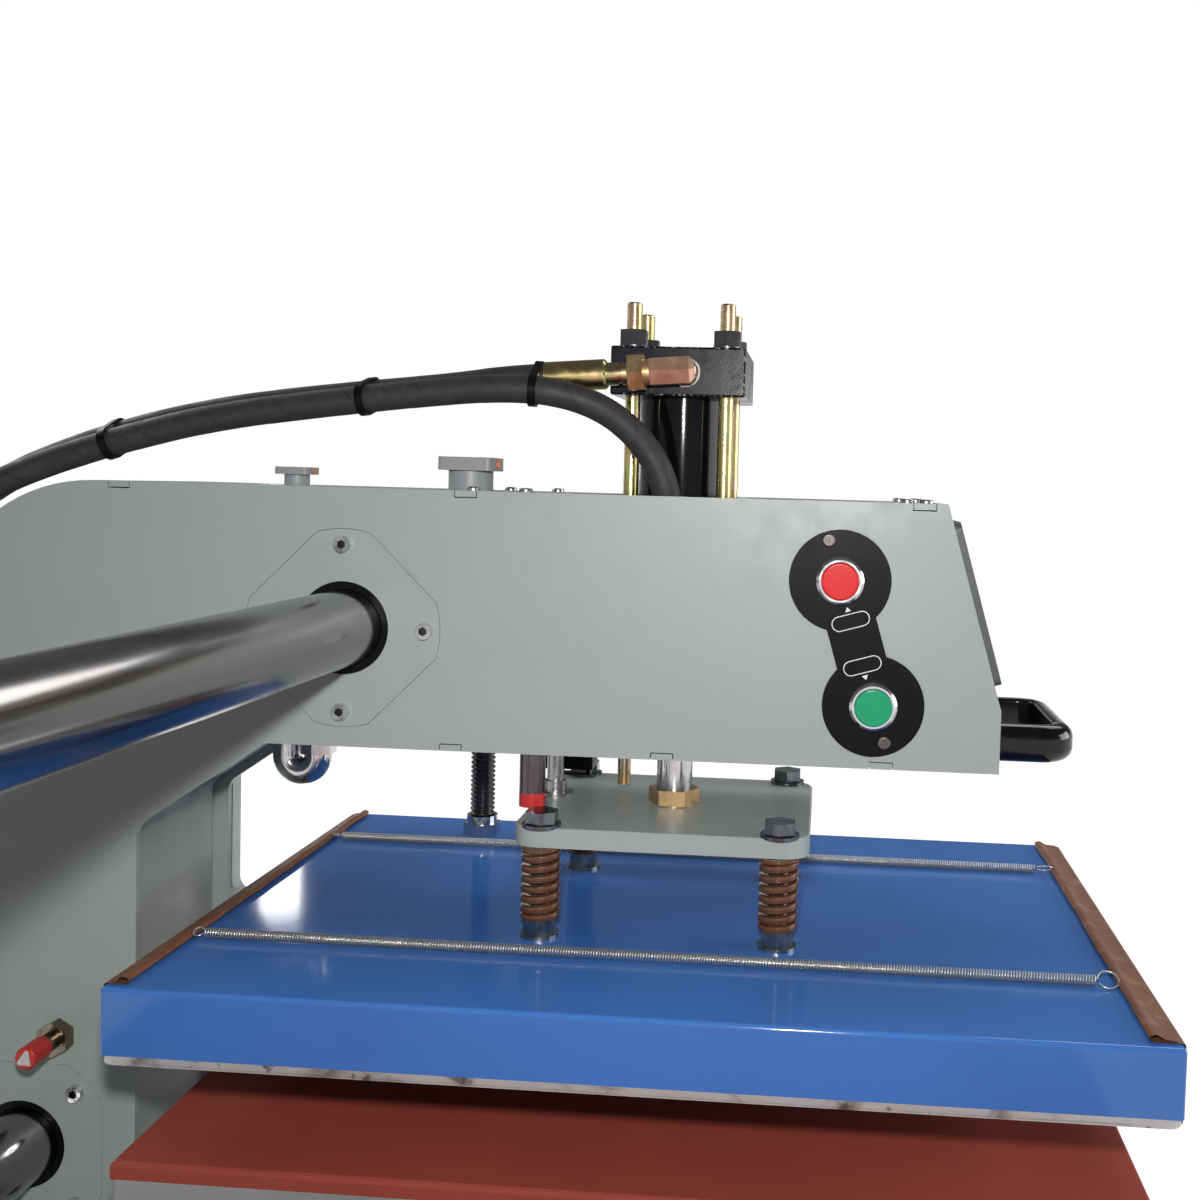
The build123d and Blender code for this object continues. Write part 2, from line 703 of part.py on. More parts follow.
def fitting_stack(start):
    """Collar, nut, grooved neck and crimped ferrule along +Z from the given height."""
    nut_end = start + NUT_END - ELBOW_LEG
    first = start + NECK_END - ELBOW_LEG
    nut = rod(0, 0, start, start + COLLAR_T, NECK_R + 1)
    nut += hexagon(0, 0, start + COLLAR_T, nut_end, HOSE_NUT_AF)
    neck = rod(0, 0, nut_end, first, NECK_R) - rod(0, 0, nut_end + 4, nut_end + 6.5, NECK_R + 1)
    neck += rod(0, 0, nut_end, first, NECK_R - 1.2)
    ferrule = rod(0, 0, first, first + FERRULE_LENGTH, FERRULE_R)
    ferrule = chamfer(ferrule.edges().filter_by(GeomType.CIRCLE).sort_by(Axis.Z)[0], 1.5)
    return [nut, neck + ferrule]


def fittings():
    """Port elbows on the cylinder, and the straight fittings on the manifold behind the column."""
    elbow = rod_x(FITTING_X, -BLOCK_HALF, PORT_Y, PORT_Z, 8)
    leg = hexagon_y(-7.5, ELBOW_LEG, 0, 0, ELBOW_AF)
    leg = FITTING * chamfer(leg.faces().sort_by(Axis.Y)[0].edges(), 3)
    shapes = [elbow + leg]
    shapes += [FITTING * Rot(X=-90) * piece for piece in fitting_stack(ELBOW_LEG)]
    low = rod_x(LOW_FITTING_X, -BLOCK_HALF, LOW_FITTING_Y, LOW_PORT_Z, 7)
    low += hexagon(LOW_FITTING_X, LOW_FITTING_Y, LOW_PORT_Z - 8, LOW_PORT_Z + 14, 15)
    shapes.append(low)
    shapes += [Pos(LOW_FITTING_X, LOW_FITTING_Y, LOW_PORT_Z + 14) * piece for piece in low_stack()]
    for x, y in (BACK_A, BACK_B):
        shapes += [Pos(x, y, MANIFOLD_Z + MANIFOLD_T) * piece for piece in fitting_stack(0)]
    return shapes


def low_stack():
    """Slim nut and ferrule that fit between the cylinder base and the side plate."""
    nut = hexagon(0, 0, 0, 9, 16)
    ferrule = rod(0, 0, 9, 9 + FERRULE_LENGTH * 0.5, FERRULE_R - SEAM)
    return [nut, ferrule]


def manifold():
    """Block on the column's back cover that takes both hoses."""
    y0 = COLUMN_BACK
    body = block(BACK_B[0] - 18, BACK_A[0] + 22, y0, y0 + MANIFOLD_DEPTH, MANIFOLD_Z, MANIFOLD_Z + MANIFOLD_T)
    return fillet(body.edges().filter_by(Axis.Z), 3)


def hose_points():
    """Routes of both hoses in the head's frame, from the cylinder over the column to the manifold."""
    start = (FITTING * Pos(0, NECK_END + FERRULE_LENGTH, 0)).position
    second = (FITTING * Pos(0, NECK_END + FERRULE_LENGTH + 24, 0)).position
    low_top = LOW_PORT_Z + 14 + 9 + FERRULE_LENGTH * 0.5
    back_top = MANIFOLD_Z + MANIFOLD_T + NECK_END - ELBOW_LEG + FERRULE_LENGTH
    upper = [
        (start.X, start.Y, start.Z),
        (second.X, second.Y, second.Z),
        (-55, 148, 350.8),
        (-52, 190, 346.8),
        (-51, 242, 341),
        (-50.8, 298, 333.2),
        (-50.8, 352, 321),
        (-50.8, 404, 304.5),
        (-50, 452, 284),
        (-46, 493, 254),
        (-37, 521, 214),
        (-27, 533, 177),
        (BACK_A[0], BACK_A[1], back_top + 36),
        (BACK_A[0], BACK_A[1], back_top),
    ]
    lower = [
        (LOW_FITTING_X, LOW_FITTING_Y, low_top),
        (LOW_FITTING_X, LOW_FITTING_Y, low_top + 32),
        (-54.6, 1.6, 283),
        (-58.6, 14.5, 313),
        (-65.5, 37.5, 335.5),
        (-73, 68, 347.8),
        (-75.2, 108, 350.2),
        (-72.6, 160, 345.6),
        (-70.5, 225, 337.6),
        (-69.7, 296, 327.6),
        (-69.7, 357, 312.2),
        (-69.5, 406, 296.6),
        (-69, 449, 279.4),
        (-67.5, 489, 251),
        (-63.5, 517, 212),
        (-58.5, 531.5, 171),
        (BACK_B[0], BACK_B[1], back_top + 30),
        (BACK_B[0], BACK_B[1], back_top),
    ]
    return upper, lower


def cord_tube(name, points, radius):
    """Tube of straight runs joined by tangent arcs, each as large as its two runs allow."""
    corners = [Vector(*p) for p in points]
    radii = []
    for before, corner, after in zip(corners, corners[1:], corners[2:]):
        turn = radians((corner - before).get_angle(after - corner))
        shorter = min((corner - before).length, (after - corner).length)
        radii.append(0.45 * shorter / tan(turn / 2))
    path = FilletPolyline(*corners, radius=radii)
    print(name, "length", round(path.length), "radii", [round(r) for r in radii])
    start = Plane(origin=corners[0], z_dir=corners[1] - corners[0])
    tube = sweep(start * Circle(radius), path=path)
    print(name, "volume ratio", round(tube.volume / (pi * radius ** 2 * path.length), 4))
    return tube


def cable_tie(upper, lower, index_a, index_b, share):
    """Flat band round both hoses, square to a run of the lower one at a share of its length."""
    low, high = Vector(*lower[index_b]), Vector(*lower[index_b + 1])
    middle = low + (high - low) * share
    along = (high - low).normalized()
    near, far = Vector(*upper[index_a]), Vector(*upper[index_a + 1])
    other = near + (far - near) * ((middle - near).dot(along) / (far - near).dot(along))
    across = other - middle
    inside = HOSE_R + TIE_CLEAR
    place = Plane(origin=(middle + other) / 2, x_dir=across, z_dir=along)
    hollow = SlotCenterToCenter(across.length, 2 * inside)
    band = SlotCenterToCenter(across.length, 2 * (inside + TIE_T))
    head = Pos(across.length / 2 + inside + TIE_T, 3) * Rectangle(4, TIE_W)
    return extrude(place * (band + head - hollow), TIE_W / 2, both=True)


def hoses():
    upper, lower = hose_points()
    save("hose_upper", [cord_tube("hose_upper", upper, HOSE_R)], HEAD)
    save("hose_lower", [cord_tube("hose_lower", lower, HOSE_R)], HEAD)
    ties = [cable_tie(upper, lower, *tie) for tie in TIES]
    save("hose_ties", ties, HEAD)
    save("hose_fittings", fittings(), HEAD)
    save("hose_manifold", [manifold()], HEAD)


# Head: pieces under the arm

def elbow_pipe(radius):
    """Round bar along the path of the chrome bend: down out of the gusset, round and up into the arm."""
    start = Vector(ELBOW_X, ELBOW_Y + ELBOW_BEND, COVER_FLOOR + 2)
    left = Vector(ELBOW_X, ELBOW_Y + ELBOW_BEND, ELBOW_Z)
    low = Vector(ELBOW_X, ELBOW_Y, ELBOW_Z - ELBOW_BEND)
    right = Vector(ELBOW_X, ELBOW_Y - ELBOW_BEND, ELBOW_Z)
    end = Vector(ELBOW_X, ELBOW_Y - ELBOW_BEND, COVER_FLOOR + 2)
    path = Wire([Line(start, left), ThreePointArc(left, low, right), Line(right, end)])
    return sweep(Plane(origin=start, z_dir=(0, 0, -1)) * Circle(radius), path=path)


def conduit_elbow():
    """Chrome pipe bend under the arm with its hex nut."""
    y = ELBOW_Y - ELBOW_BEND
    nut = hexagon(ELBOW_X, y, ELBOW_Z + 2, ELBOW_Z + 13, 2 * ELBOW_R + 3)
    nut -= rod(ELBOW_X, y, ELBOW_Z, ELBOW_Z + 20, ELBOW_R + SLIDE_FIT)
    return [elbow_pipe(ELBOW_R) - elbow_pipe(ELBOW_R - 2), nut]


def stop_post():
    """Steel post with a red tip that limits the platen's upward overtravel."""
    x, y = STOP_POST_POS
    return [rod(x, y, STOP_POST_FOOT + STOP_TIP_T, COVER_FLOOR + 20, STOP_POST_R),
            rod(x, y, STOP_POST_FOOT, STOP_POST_FOOT + STOP_TIP_T, STOP_POST_R)]


def position_sensors():
    """Brass proximity sensor over the connecting plate, and a black limit switch beside it."""
    x, y = SENSOR_POS
    probe = rod(x, y, SENSOR_FOOT, BLOCK_BOTTOM - 1, SENSOR_R)
    nut = hexagon(x, y, ARM_BOTTOM - 4, ARM_BOTTOM, 14)
    nut -= rod(x, y, SENSOR_FOOT, ARM_BOTTOM, SENSOR_R + SLIDE_FIT)
    body = block(*SWITCH_X, *SWITCH_Y, SWITCH_FOOT, ARM_BOTTOM)
    body = fillet(body.edges().filter_by(Axis.Z), 2)
    middle = sum(SWITCH_X) / 2
    plunger = rod(middle, SWITCH_Y[1] - 8, SWITCH_FOOT - 4, SWITCH_FOOT, 4)
    lever = block(middle - 3, middle + 3, SWITCH_Y[0] + 3, SWITCH_Y[1] - 2, SWITCH_FOOT - 6, SWITCH_FOOT - 4)
    hinge = block(middle - 3, middle + 3, SWITCH_Y[0] + 3, SWITCH_Y[0] + 6, SWITCH_FOOT - 6, SWITCH_FOOT)
    return [probe, nut, body + plunger + lever + hinge]


# Head: controls and handle

def button_plate():
    """Black plate in the shape of two discs joined by a bar, behind both buttons."""
    (y0, z0), (y1, z1) = RED_POS, GREEN_POS
    turn = degrees(atan2(z0 - z1, y0 - y1))
    x0 = -ARM_HALF - BUTTON_PLATE_T
    link = Pos(x0 + BUTTON_PLATE_T / 2, (y0 + y1) / 2, (z0 + z1) / 2) * Rot(X=turn)
    link *= Box(BUTTON_PLATE_T, sqrt((y0 - y1) ** 2 + (z0 - z1) ** 2), LINK_W)
    plate = rod_x(x0, -ARM_HALF, y0, z0, DISC_R) + rod_x(x0, -ARM_HALF, y1, z1, DISC_R) + link
    for y, z in (RED_POS, GREEN_POS):
        plate -= rod_x(x0 - 1, -ARM_HALF + 1, y, z, BARREL_THREAD_R + HOLE_CLEAR)
    return plate


def bezel(y, z):
    """Chrome ring in front of the plate with the threaded barrel behind it."""
    face = -ARM_HALF - BUTTON_PLATE_T
    ring = rod_x(face - BEZEL_T, face, y, z, BEZEL_R)
    ring = chamfer(ring.edges().filter_by(GeomType.CIRCLE).sort_by(Axis.X)[0], 1.6)
    barrel = rod_x(face, face + BARREL_DEPTH, y, z, BARREL_THREAD_R)
    back_nut = rod_x(-INNER, -INNER + 4, y, z, BARREL_THREAD_R + 3)
    shape = ring + barrel + back_nut
    shape -= rod_x(face - BEZEL_T - 1, face - BUTTON_SEAT, y, z, BUTTON_R + HOLE_CLEAR)
    return shape - rod_x(face - BEZEL_T, face + BARREL_DEPTH + 1, y, z, BUTTON_STEM_R + HOLE_CLEAR)


def button(y, z):
    """Round push button whose stem runs back into the bezel's barrel."""
    face = -ARM_HALF - BUTTON_PLATE_T
    front = face - BUTTON_PROUD - BUTTON_TRAVEL + 1
    back = face - BUTTON_SEAT - BUTTON_TRAVEL - SEAM
    cap = rod_x(front, back, y, z, BUTTON_R)
    cap = fillet(cap.edges().filter_by(GeomType.CIRCLE).sort_by(Axis.X)[0], 1.2)
    return cap + rod_x(back, face + BARREL_DEPTH - BUTTON_TRAVEL - 4, y, z, BUTTON_STEM_R)


def slope_frame():
    """Plane on the middle of the sloped front face, with its z axis pointing away from the arm."""
    middle = Vector(0, (ARM_FRONT_TOP + ARM_FRONT) / 2, (ARM_TOP + KNEE_Z) / 2)
    return Plane(origin=middle, x_dir=(1, 0, 0), z_dir=(0, -cos(SLOPE), sin(SLOPE)))


def control_panel():
    """Thin control panel on the sloped front, with a recess for its screen."""
    frame = slope_frame()
    body = extrude(frame * RectangleRounded(2 * PANEL_HALF_X, PANEL_LENGTH, 5), PANEL_T)
    place = frame * Pos(0, PANEL_LENGTH * 0.12, 0)
    recess = extrude(place * Pos(0, 0, PANEL_T - 2) * Rectangle(2 * SCREEN_HALF_X, SCREEN_LENGTH), 3)
    glass = Rectangle(2 * (SCREEN_HALF_X - SEAM), SCREEN_LENGTH - 2 * SEAM)
    return body - recess, extrude(place * Pos(0, 0, PANEL_T - 2) * glass, 1.6)


def pull_handle():
    """Flat black loop that stands out of the arm's front."""
    back = ARM_FRONT
    front = ARM_FRONT - HANDLE_DEPTH
    outer = plan([(-HANDLE_HALF, back), (-HANDLE_HALF, front, HANDLE_CORNER_R),
                  (HANDLE_HALF, front, HANDLE_CORNER_R), (HANDLE_HALF, back)],
                 HANDLE_TOP - HANDLE_T, HANDLE_TOP)
    inside = HANDLE_HALF - HANDLE_BAR
    hole = plan([(-inside, back + 1), (-inside, front + HANDLE_BAR, HANDLE_CORNER_R - HANDLE_BAR),
                 (inside, front + HANDLE_BAR, HANDLE_CORNER_R - HANDLE_BAR), (inside, back + 1)],
                HANDLE_TOP - HANDLE_T - 1, HANDLE_TOP + 1)

    def rims(shape):
        """Edges that lie flat, apart from those against the arm."""
        level = shape.edges().filter_by(lambda e: e.bounding_box().size.Z < 0.01)
        return level.filter_by(lambda e: abs(e.center().Y - back) > 1)

    loop = fillet(rims(outer), HANDLE_OUTER_ROUND) - hole
    inner = rims(loop).filter_by(
        lambda e: abs(e.center().X) < inside + 0.1 and e.center().Y > front + HANDLE_BAR - 0.1)
    return fillet(inner, HANDLE_INNER_ROUND)


# Ram

def ram_parts():
    top = PISTON_TOP
    piston = rod(0, 0, top - PISTON_T, top, BORE_R - SLIDE_FIT)
    shaft = rod(0, 0, YOKE_BOTTOM, top - PISTON_T, ROD_R)
    yoke = rounded_plate(YOKE_HALF_X, YOKE_HALF_Y, YOKE_CORNER_R, YOKE_BOTTOM, YOKE_TOP)
    yoke = chamfer(yoke.faces().sort_by(Axis.Z)[-1].edges(), 1)
    yoke -= rod(0, 0, YOKE_BOTTOM - 1, YOKE_TOP + 1, ROD_R + SLIDE_FIT)
    for x, y in at_bolts():
        yoke -= rod(x, y, YOKE_BOTTOM - 1, YOKE_TOP + 1, BOLT_R + HOLE_CLEAR)
    hole = rod(0, 0, YOKE_TOP - 1, YOKE_TOP + 20, ROD_R + SLIDE_FIT)
    seat = YOKE_TOP + ROD_WASHER_T
    washer = rod(0, 0, YOKE_TOP, seat, ROD_NUT_AF / 2) - hole
    nut = hexagon(0, 0, seat, seat + ROD_NUT_T, ROD_NUT_AF, 30) - hole
    x, y = GUIDE_ROD_POS
    guide = rod(x, y, YOKE_TOP + WASHER_T, GUIDE_ROD_TOP, GUIDE_ROD_R)
    guide += rod(x, y, YOKE_TOP, YOKE_TOP + WASHER_T, WASHER_R)
    guide += rod(x, y, YOKE_TOP + WASHER_T, YOKE_TOP + 10, GUIDE_ROD_R + 2)
    save("piston_rod", [piston + shaft], HEAD)
    save("connecting_plate", [yoke], HEAD)
    save("rod_nut", [washer, nut], HEAD)
    save("guide_rod", [guide], HEAD)


# Platen

def spring_bolts():
    shapes = []
    for x, y in at_bolts():
        top = YOKE_TOP + WASHER_T
        bolt = rod(x, y, -BOLT_DEPTH, top, BOLT_R) + hexagon(x, y, top, top + BOLT_HEAD_T, BOLT_AF)
        washer = rod(x, y, YOKE_TOP, top, WASHER_R) - rod(x, y, YOKE_TOP - 1, top + 1, BOLT_R + SLIDE_FIT)
        hole = rod(x, y, -1, WASHER_T + NUT_T + 1, BOLT_R + SLIDE_FIT)
        low_washer = rod(x, y, 0, WASHER_T, WASHER_R) - hole
        nut = hexagon(x, y, WASHER_T, WASHER_T + NUT_T, BOLT_AF) - hole
        shapes += [bolt, washer, low_washer, nut]
    return shapes


def biarc(p0, t0, p1, t1):
    """Two circular arcs from p0 to p1 that leave along t0 and arrive along t1."""
    v = p1 - p0
    t = t0 + t1
    a = 2 * (1 - t0.dot(t1))
    d = (-v.dot(t) + sqrt(v.dot(t) ** 2 + a * v.dot(v))) / a
    joint = (p0 + t0 * d + p1 - t1 * d) / 2
    return [arc_along(p0, t0, joint), arc_back(joint, p1, t1)]


def arc_middle(start, tangent, end):
    chord = end - start
    along = chord.normalized()
    off = tangent - along * tangent.dot(along)
    if off.length < 1e-9:
        return (start + end) / 2
    angle = radians(tangent.get_angle(chord))
    return (start + end) / 2 + off.normalized() * (chord.length / 2 * tan(angle / 2))


def arc_along(start, tangent, end):
    return ThreePointArc(start, arc_middle(start, tangent, end), end)


def arc_back(start, end, tangent):
    return ThreePointArc(start, arc_middle(end, tangent * -1, start), end)


def helix_point(radius, pitch, angle):
    return Vector(radius * cos(angle), radius * sin(angle), pitch * angle / (2 * pi))


def helix_tangent(radius, pitch, angle):
    return Vector(-radius * sin(angle), radius * cos(angle), pitch / (2 * pi)).normalized()


def least_gap(line, wire, turn_length):
    """Smallest space that a coiled wire leaves to itself, measured on points along its middle."""
    count = ceil(line.length / 2)
    points = [line @ (i / count) for i in range(count + 1)]
    apart = int(turn_length / 2 / (line.length / count))
    nearest = min((a - b).length for i, a in enumerate(points) for b in points[i + apart:])
    return nearest - wire


def die_spring(z0, z1):
    """Round-wire spring between two seats; its turns are biarcs of half a turn."""
    radius = SPRING_R - SPRING_WIRE / 2
    height = z1 - z0 - SPRING_WIRE - SEAM
    pitch = height / SPRING_TURNS
    steps = ceil(SPRING_TURNS * 2)
    last = 2 * pi * SPRING_TURNS
    angles = [last * i / steps for i in range(steps + 1)]
    path = []
    for a, b in zip(angles, angles[1:]):
        path += biarc(helix_point(radius, pitch, a), helix_tangent(radius, pitch, a),
                      helix_point(radius, pitch, b), helix_tangent(radius, pitch, b))
    first = helix_point(radius, pitch, 0)
    start = Plane(origin=first, x_dir=(1, 0, 0), z_dir=helix_tangent(radius, pitch, 0))
    line = Wire(path)
    coil = sweep(start * Circle(SPRING_WIRE / 2), path=line)
    print("die_springs least gap", round(least_gap(line, SPRING_WIRE, 2 * pi * radius), 2))
    return Pos(0, 0, z0 + SPRING_WIRE / 2 + SEAM / 2) * coil


def platen_shell():
    """Blue cover over the heating plate: five-sided shell open below."""
    outer = rounded_plate(PLATEN_HALF_X, PLATEN_HALF_Y, PLATEN_CORNER_R, -COVER_DEPTH, 0)
    outer = fillet(outer.faces().sort_by(Axis.Z)[-1].edges(), 2.5)
    inner = rounded_plate(PLATEN_HALF_X - SKIN_T, PLATEN_HALF_Y - SKIN_T, PLATEN_CORNER_R - SKIN_T,
                          -COVER_DEPTH - 1, -SKIN_T)
    shell = outer - inner
    for x, y in at_bolts():
        shell -= rod(x, y, -SKIN_T - 1, 1, BOLT_R + HOLE_CLEAR)
    return shell - rod(*GLAND_POS, -SKIN_T - 1, 1, CONDUIT_BORE_R)


def heater_path():
    """Serpentine of straight runs and round bends just under the heating plate's top."""
    z = HEAT_PLATE_TOP - HEATER_R - 2
    y_end = PLATEN_HALF_Y - 45
    points = []
    for i in range(HEATER_RUNS):
        x = (i - (HEATER_RUNS - 1) / 2) * HEATER_PITCH
        ends = (-y_end, y_end) if i % 2 == 0 else (y_end, -y_end)
        points += [(x, y, z) for y in ends]
    return FilletPolyline(*points, radius=HEATER_PITCH / 2 - 0.5)


def platen_parts():
    gap = SKIN_T + HOLE_CLEAR
    lip = rounded_plate(PLATEN_HALF_X, PLATEN_HALF_Y, LIP_CORNER_R, PLATEN_BOTTOM, -COVER_DEPTH)
    body = rounded_plate(PLATEN_HALF_X - gap, PLATEN_HALF_Y - gap, PLATEN_CORNER_R - gap, PLATEN_BOTTOM,
                         HEAT_PLATE_TOP)
    path = heater_path()
    start = Plane(origin=path @ 0, z_dir=path % 0)
    heater = sweep(start * Circle(HEATER_R), path=path)
    plate = lip + body - sweep(start * Circle(HEATER_R + SLIDE_FIT), path=path)
    board = rounded_plate(PLATEN_HALF_X - gap, PLATEN_HALF_Y - gap, PLATEN_CORNER_R - gap, HEAT_PLATE_TOP,
                          -SKIN_T)
    for x, y in at_bolts():
        plate -= rod(x, y, -BOLT_DEPTH - 1, HEAT_PLATE_TOP + 1, BOLT_R + SLIDE_FIT)
        board -= rod(x, y, HEAT_PLATE_TOP - 1, 0, BOLT_R + HOLE_CLEAR)
    save("platen_cover", [platen_shell()], HEAD)
    save("heating_plate", [plate], HEAD)
    save("heating_element", [heater], HEAD)
    save("insulation_board", [board], HEAD)
    save("release_sheet", [release_sheet()], HEAD)
    save("tension_springs", tension_springs(), HEAD)
    coil = die_spring(WASHER_T + NUT_T, YOKE_BOTTOM)
    save("die_springs", [Pos(x, y, 0) * coil for x, y in at_bolts()], HEAD)
    save("spring_bolts", spring_bolts(), HEAD)


def release_sheet():
    """Heat-proof sheet wrapped round the platen from one top edge, under it, to the other top edge."""
    side = PLATEN_HALF_Y + SEAM
    low = PLATEN_BOTTOM - SEAM
    top = SEAM
    outer = side + SHEET_T
    left, right = [sign * (PLATEN_HALF_Y - width) for sign, width in HEMS]
    corners = [
        (-outer, low - SHEET_T), (outer, low - SHEET_T), (outer, top + HEM_T), (right, top + HEM_T),
        (right, top), (side, top), (side, low), (-side, low), (-side, top), (left, top),
        (left, top + HEM_T), (-outer, top + HEM_T),
    ]
    wrap = profile(corners, -SHEET_HALF_X, SHEET_HALF_X)
    flat = PLATEN_HALF_Y - LIP_CORNER_R
    return wrap + block(-PLATEN_HALF_X, PLATEN_HALF_X, -flat, flat, low - SHEET_T, low)


def tension_springs():
    """Two long coil springs that pull the sheet's ends together, drawn as their close-wound outer form."""
    shapes = []
    for x in (-COIL_OFFSET_X, COIL_OFFSET_X):
        z = COIL_R + SEAM
        body = rod_y(*COIL_ENDS, x, z, COIL_R) - rod_y(*COIL_ENDS, x, z, COIL_R - 1)
        for (side, width), end in zip(HEMS, COIL_ENDS):
            body += rod_y(end - 2 * side, end, x, z, COIL_R - 0.5)
            body += rod_y(end, side * (PLATEN_HALF_Y - width - SEAM), x, z, HOOK_WIRE_R)
        shapes.append(body)
    return shapes


def heater_conduit():
    """Straight ribbed conduit that stands in the gland and slides up into the junction box."""
    x, y = GLAND_POS
    rise = CONDUIT_PITCH * 0.15
    corners = [(CONDUIT_BORE_R, CONDUIT_FOOT), (CONDUIT_ROOT_R, CONDUIT_FOOT)]
    count = int((CONDUIT_TOP - CONDUIT_FOOT) / CONDUIT_PITCH)
    for i in range(count):
        z = CONDUIT_FOOT + CONDUIT_PITCH * (i + 0.5)
        corners += [(CONDUIT_ROOT_R, z - CONDUIT_PITCH * 0.35), (CONDUIT_R, z - rise),
                    (CONDUIT_R, z + rise), (CONDUIT_ROOT_R, z + CONDUIT_PITCH * 0.35)]
    corners += [(CONDUIT_ROOT_R, CONDUIT_TOP), (CONDUIT_BORE_R, CONDUIT_TOP)]
    section = outline(corners, lambda a, b: Vector(a, 0, b))
    return Pos(x, y, 0) * revolve(section, Axis.Z)


def conduit_box():
    """Junction box beside the arm: sleeve for the sliding conduit below, pipe to the side plate."""
    x, y = GLAND_POS
    (x0, x1), (y0, y1), (z0, z1) = JUNCTION_X, JUNCTION_Y, JUNCTION_Z
    bore = CONDUIT_R + SLEEVE_CLEAR
    box = plan([(x0, y0, 4), (x1, y0, 4), (x1, y1, 4), (x0, y1, 4)], z0, z1)
    box -= block(x0 + JUNCTION_T, x1 - JUNCTION_T, y0 + JUNCTION_T, y1 - JUNCTION_T, z0 + JUNCTION_T,
                 z1 - JUNCTION_T)
    box += rod(x, y, SLEEVE_FOOT, z0, bore + SLEEVE_T)
    box += rod_x(ARM_HALF, x0, *NIPPLE_POS, NIPPLE_R) + hexagon_x(ARM_HALF, ARM_HALF + 8, *NIPPLE_POS, 24)
    box -= rod_x(ARM_HALF - 1, x0 + JUNCTION_T + 1, *NIPPLE_POS, NIPPLE_R - 2)
    return box - rod(x, y, SLEEVE_FOOT - 1, z0 + JUNCTION_T + 1, bore)


def conduit_gland():
    x, y = GLAND_POS
    nut_t = GLAND_T * 0.6
    gland = hexagon(x, y, 0, nut_t, GLAND_AF) + rod(x, y, nut_t, GLAND_T, GLAND_AF / 2 - 1)
    gland -= rod(x, y, CONDUIT_FOOT, GLAND_T + 1, CONDUIT_R + HOLE_CLEAR)
    return gland - rod(x, y, -1, CONDUIT_FOOT + 1, CONDUIT_BORE_R)


def conduit_parts():
    save("conduit_gland", [conduit_gland()], HEAD)
    save("conduit_box", [conduit_box()], HEAD)
    save("heater_conduit", [heater_conduit()], HEAD)


# Tables, end frames and shafts

def both_stations(shape):
    return [Pos(side * STATION_X, 0, 0) * shape for side in (-1, 1)]


def tables():
    pad = block(-TABLE_HALF_X, TABLE_HALF_X, -TABLE_HALF_Y, TABLE_HALF_Y, TABLE_TOP, PAD_TOP)
    table = rounded_plate(TABLE_HALF_X, TABLE_HALF_Y, 4, STAND_TOP, TABLE_TOP)
    stand = block(-STAND_HALF_X, STAND_HALF_X, -STAND_HALF_Y, STAND_HALF_Y, DECK_TOP, STAND_TOP)
    hollow = block(-STAND_HALF_X + STAND_WALL, STAND_HALF_X - STAND_WALL, -STAND_HALF_Y + STAND_WALL,
                   STAND_HALF_Y - STAND_WALL, DECK_TOP - 1, STAND_TOP + 1)
    save("silicone_pads", both_stations(pad))
    save("table_plates", both_stations(table))
    save("table_stands", both_stations(stand - hollow))


def end_frame():
    """Right end frame: C-shaped plate that holds both shafts, welded to a foot on the deck."""
    corners = [
        (END_FOOT_FRONT, DECK_TOP),
        (END_COLUMN_BACK, DECK_TOP),
        (END_COLUMN_BACK, END_TOP, 90),
        (END_NOSE, END_TOP, 45),
        (END_NOSE, END_BOTTOM, 45),
        (END_COLUMN_FRONT, END_BOTTOM, 70),
        (END_COLUMN_FRONT, END_SHOULDER_Z, 12),
        (END_FOOT_FRONT, END_SHOULDER_Z, 12),
    ]
    plate = profile(corners, END_INNER, END_OUTER)
    plate += block(END_OUTER - 1, END_OUTER + END_FOOT_W, END_FOOT_FRONT, END_COLUMN_BACK, DECK_TOP,
                   DECK_TOP + END_FOOT_T)
    rib_y = (END_FOOT_FRONT + END_COLUMN_BACK) / 2
    foot = DECK_TOP + END_FOOT_T
    rib = plan([(END_OUTER - 1, rib_y - 5), (END_OUTER + END_FOOT_W - 10, rib_y - 5),
                (END_OUTER + END_FOOT_W - 10, rib_y + 5), (END_OUTER - 1, rib_y + 5)], foot - 1, foot + 35)
    plate += chamfer(rib.edges().filter_by(Axis.Y).sort_by(lambda e: e.center().X + e.center().Z)[-1], 28, 32)
    y, z = BUMPER_POS
    half = STOP_ARM_W / 2
    plate += block(STOP_FACE, END_INNER + 1, y - half, y + half, z - half, z + half)
    for centre, turn in BEARINGS:
        plate -= rod_x(END_INNER - 1, END_OUTER + 1, *centre, SHAFT_R + SLIDE_FIT)
    return plate


def foot_bolts():
    bolts = []
    for side in (-1, 1):
        for y in (END_FOOT_FRONT + 18, END_COLUMN_BACK - 18):
            z = DECK_TOP + END_FOOT_T
            x = END_OUTER + END_FOOT_W / 2 + 3
            bolts.append(hexagon(side * x, y, z, z + 8, 18))
    return bolts


def shaft_clamp(centre):
    """Clamp ring on the outer face of the right end frame, with four screws."""
    ring = rod_x(END_OUTER, END_OUTER + CLAMP_T, *centre, CLAMP_R)
    ring -= rod_x(END_OUTER - 1, END_OUTER + CLAMP_T + 1, *centre, SHAFT_R + SLIDE_FIT)
    screws = []
    for k in range(4):
        y = centre[0] + (CLAMP_R - 11) * cos(radians(45 + 90 * k))
        z = centre[1] + (CLAMP_R - 11) * sin(radians(45 + 90 * k))
        screws.append(rod_x(END_OUTER + CLAMP_T, END_OUTER + CLAMP_T + 6, y, z, 6.5))
    return [ring] + screws


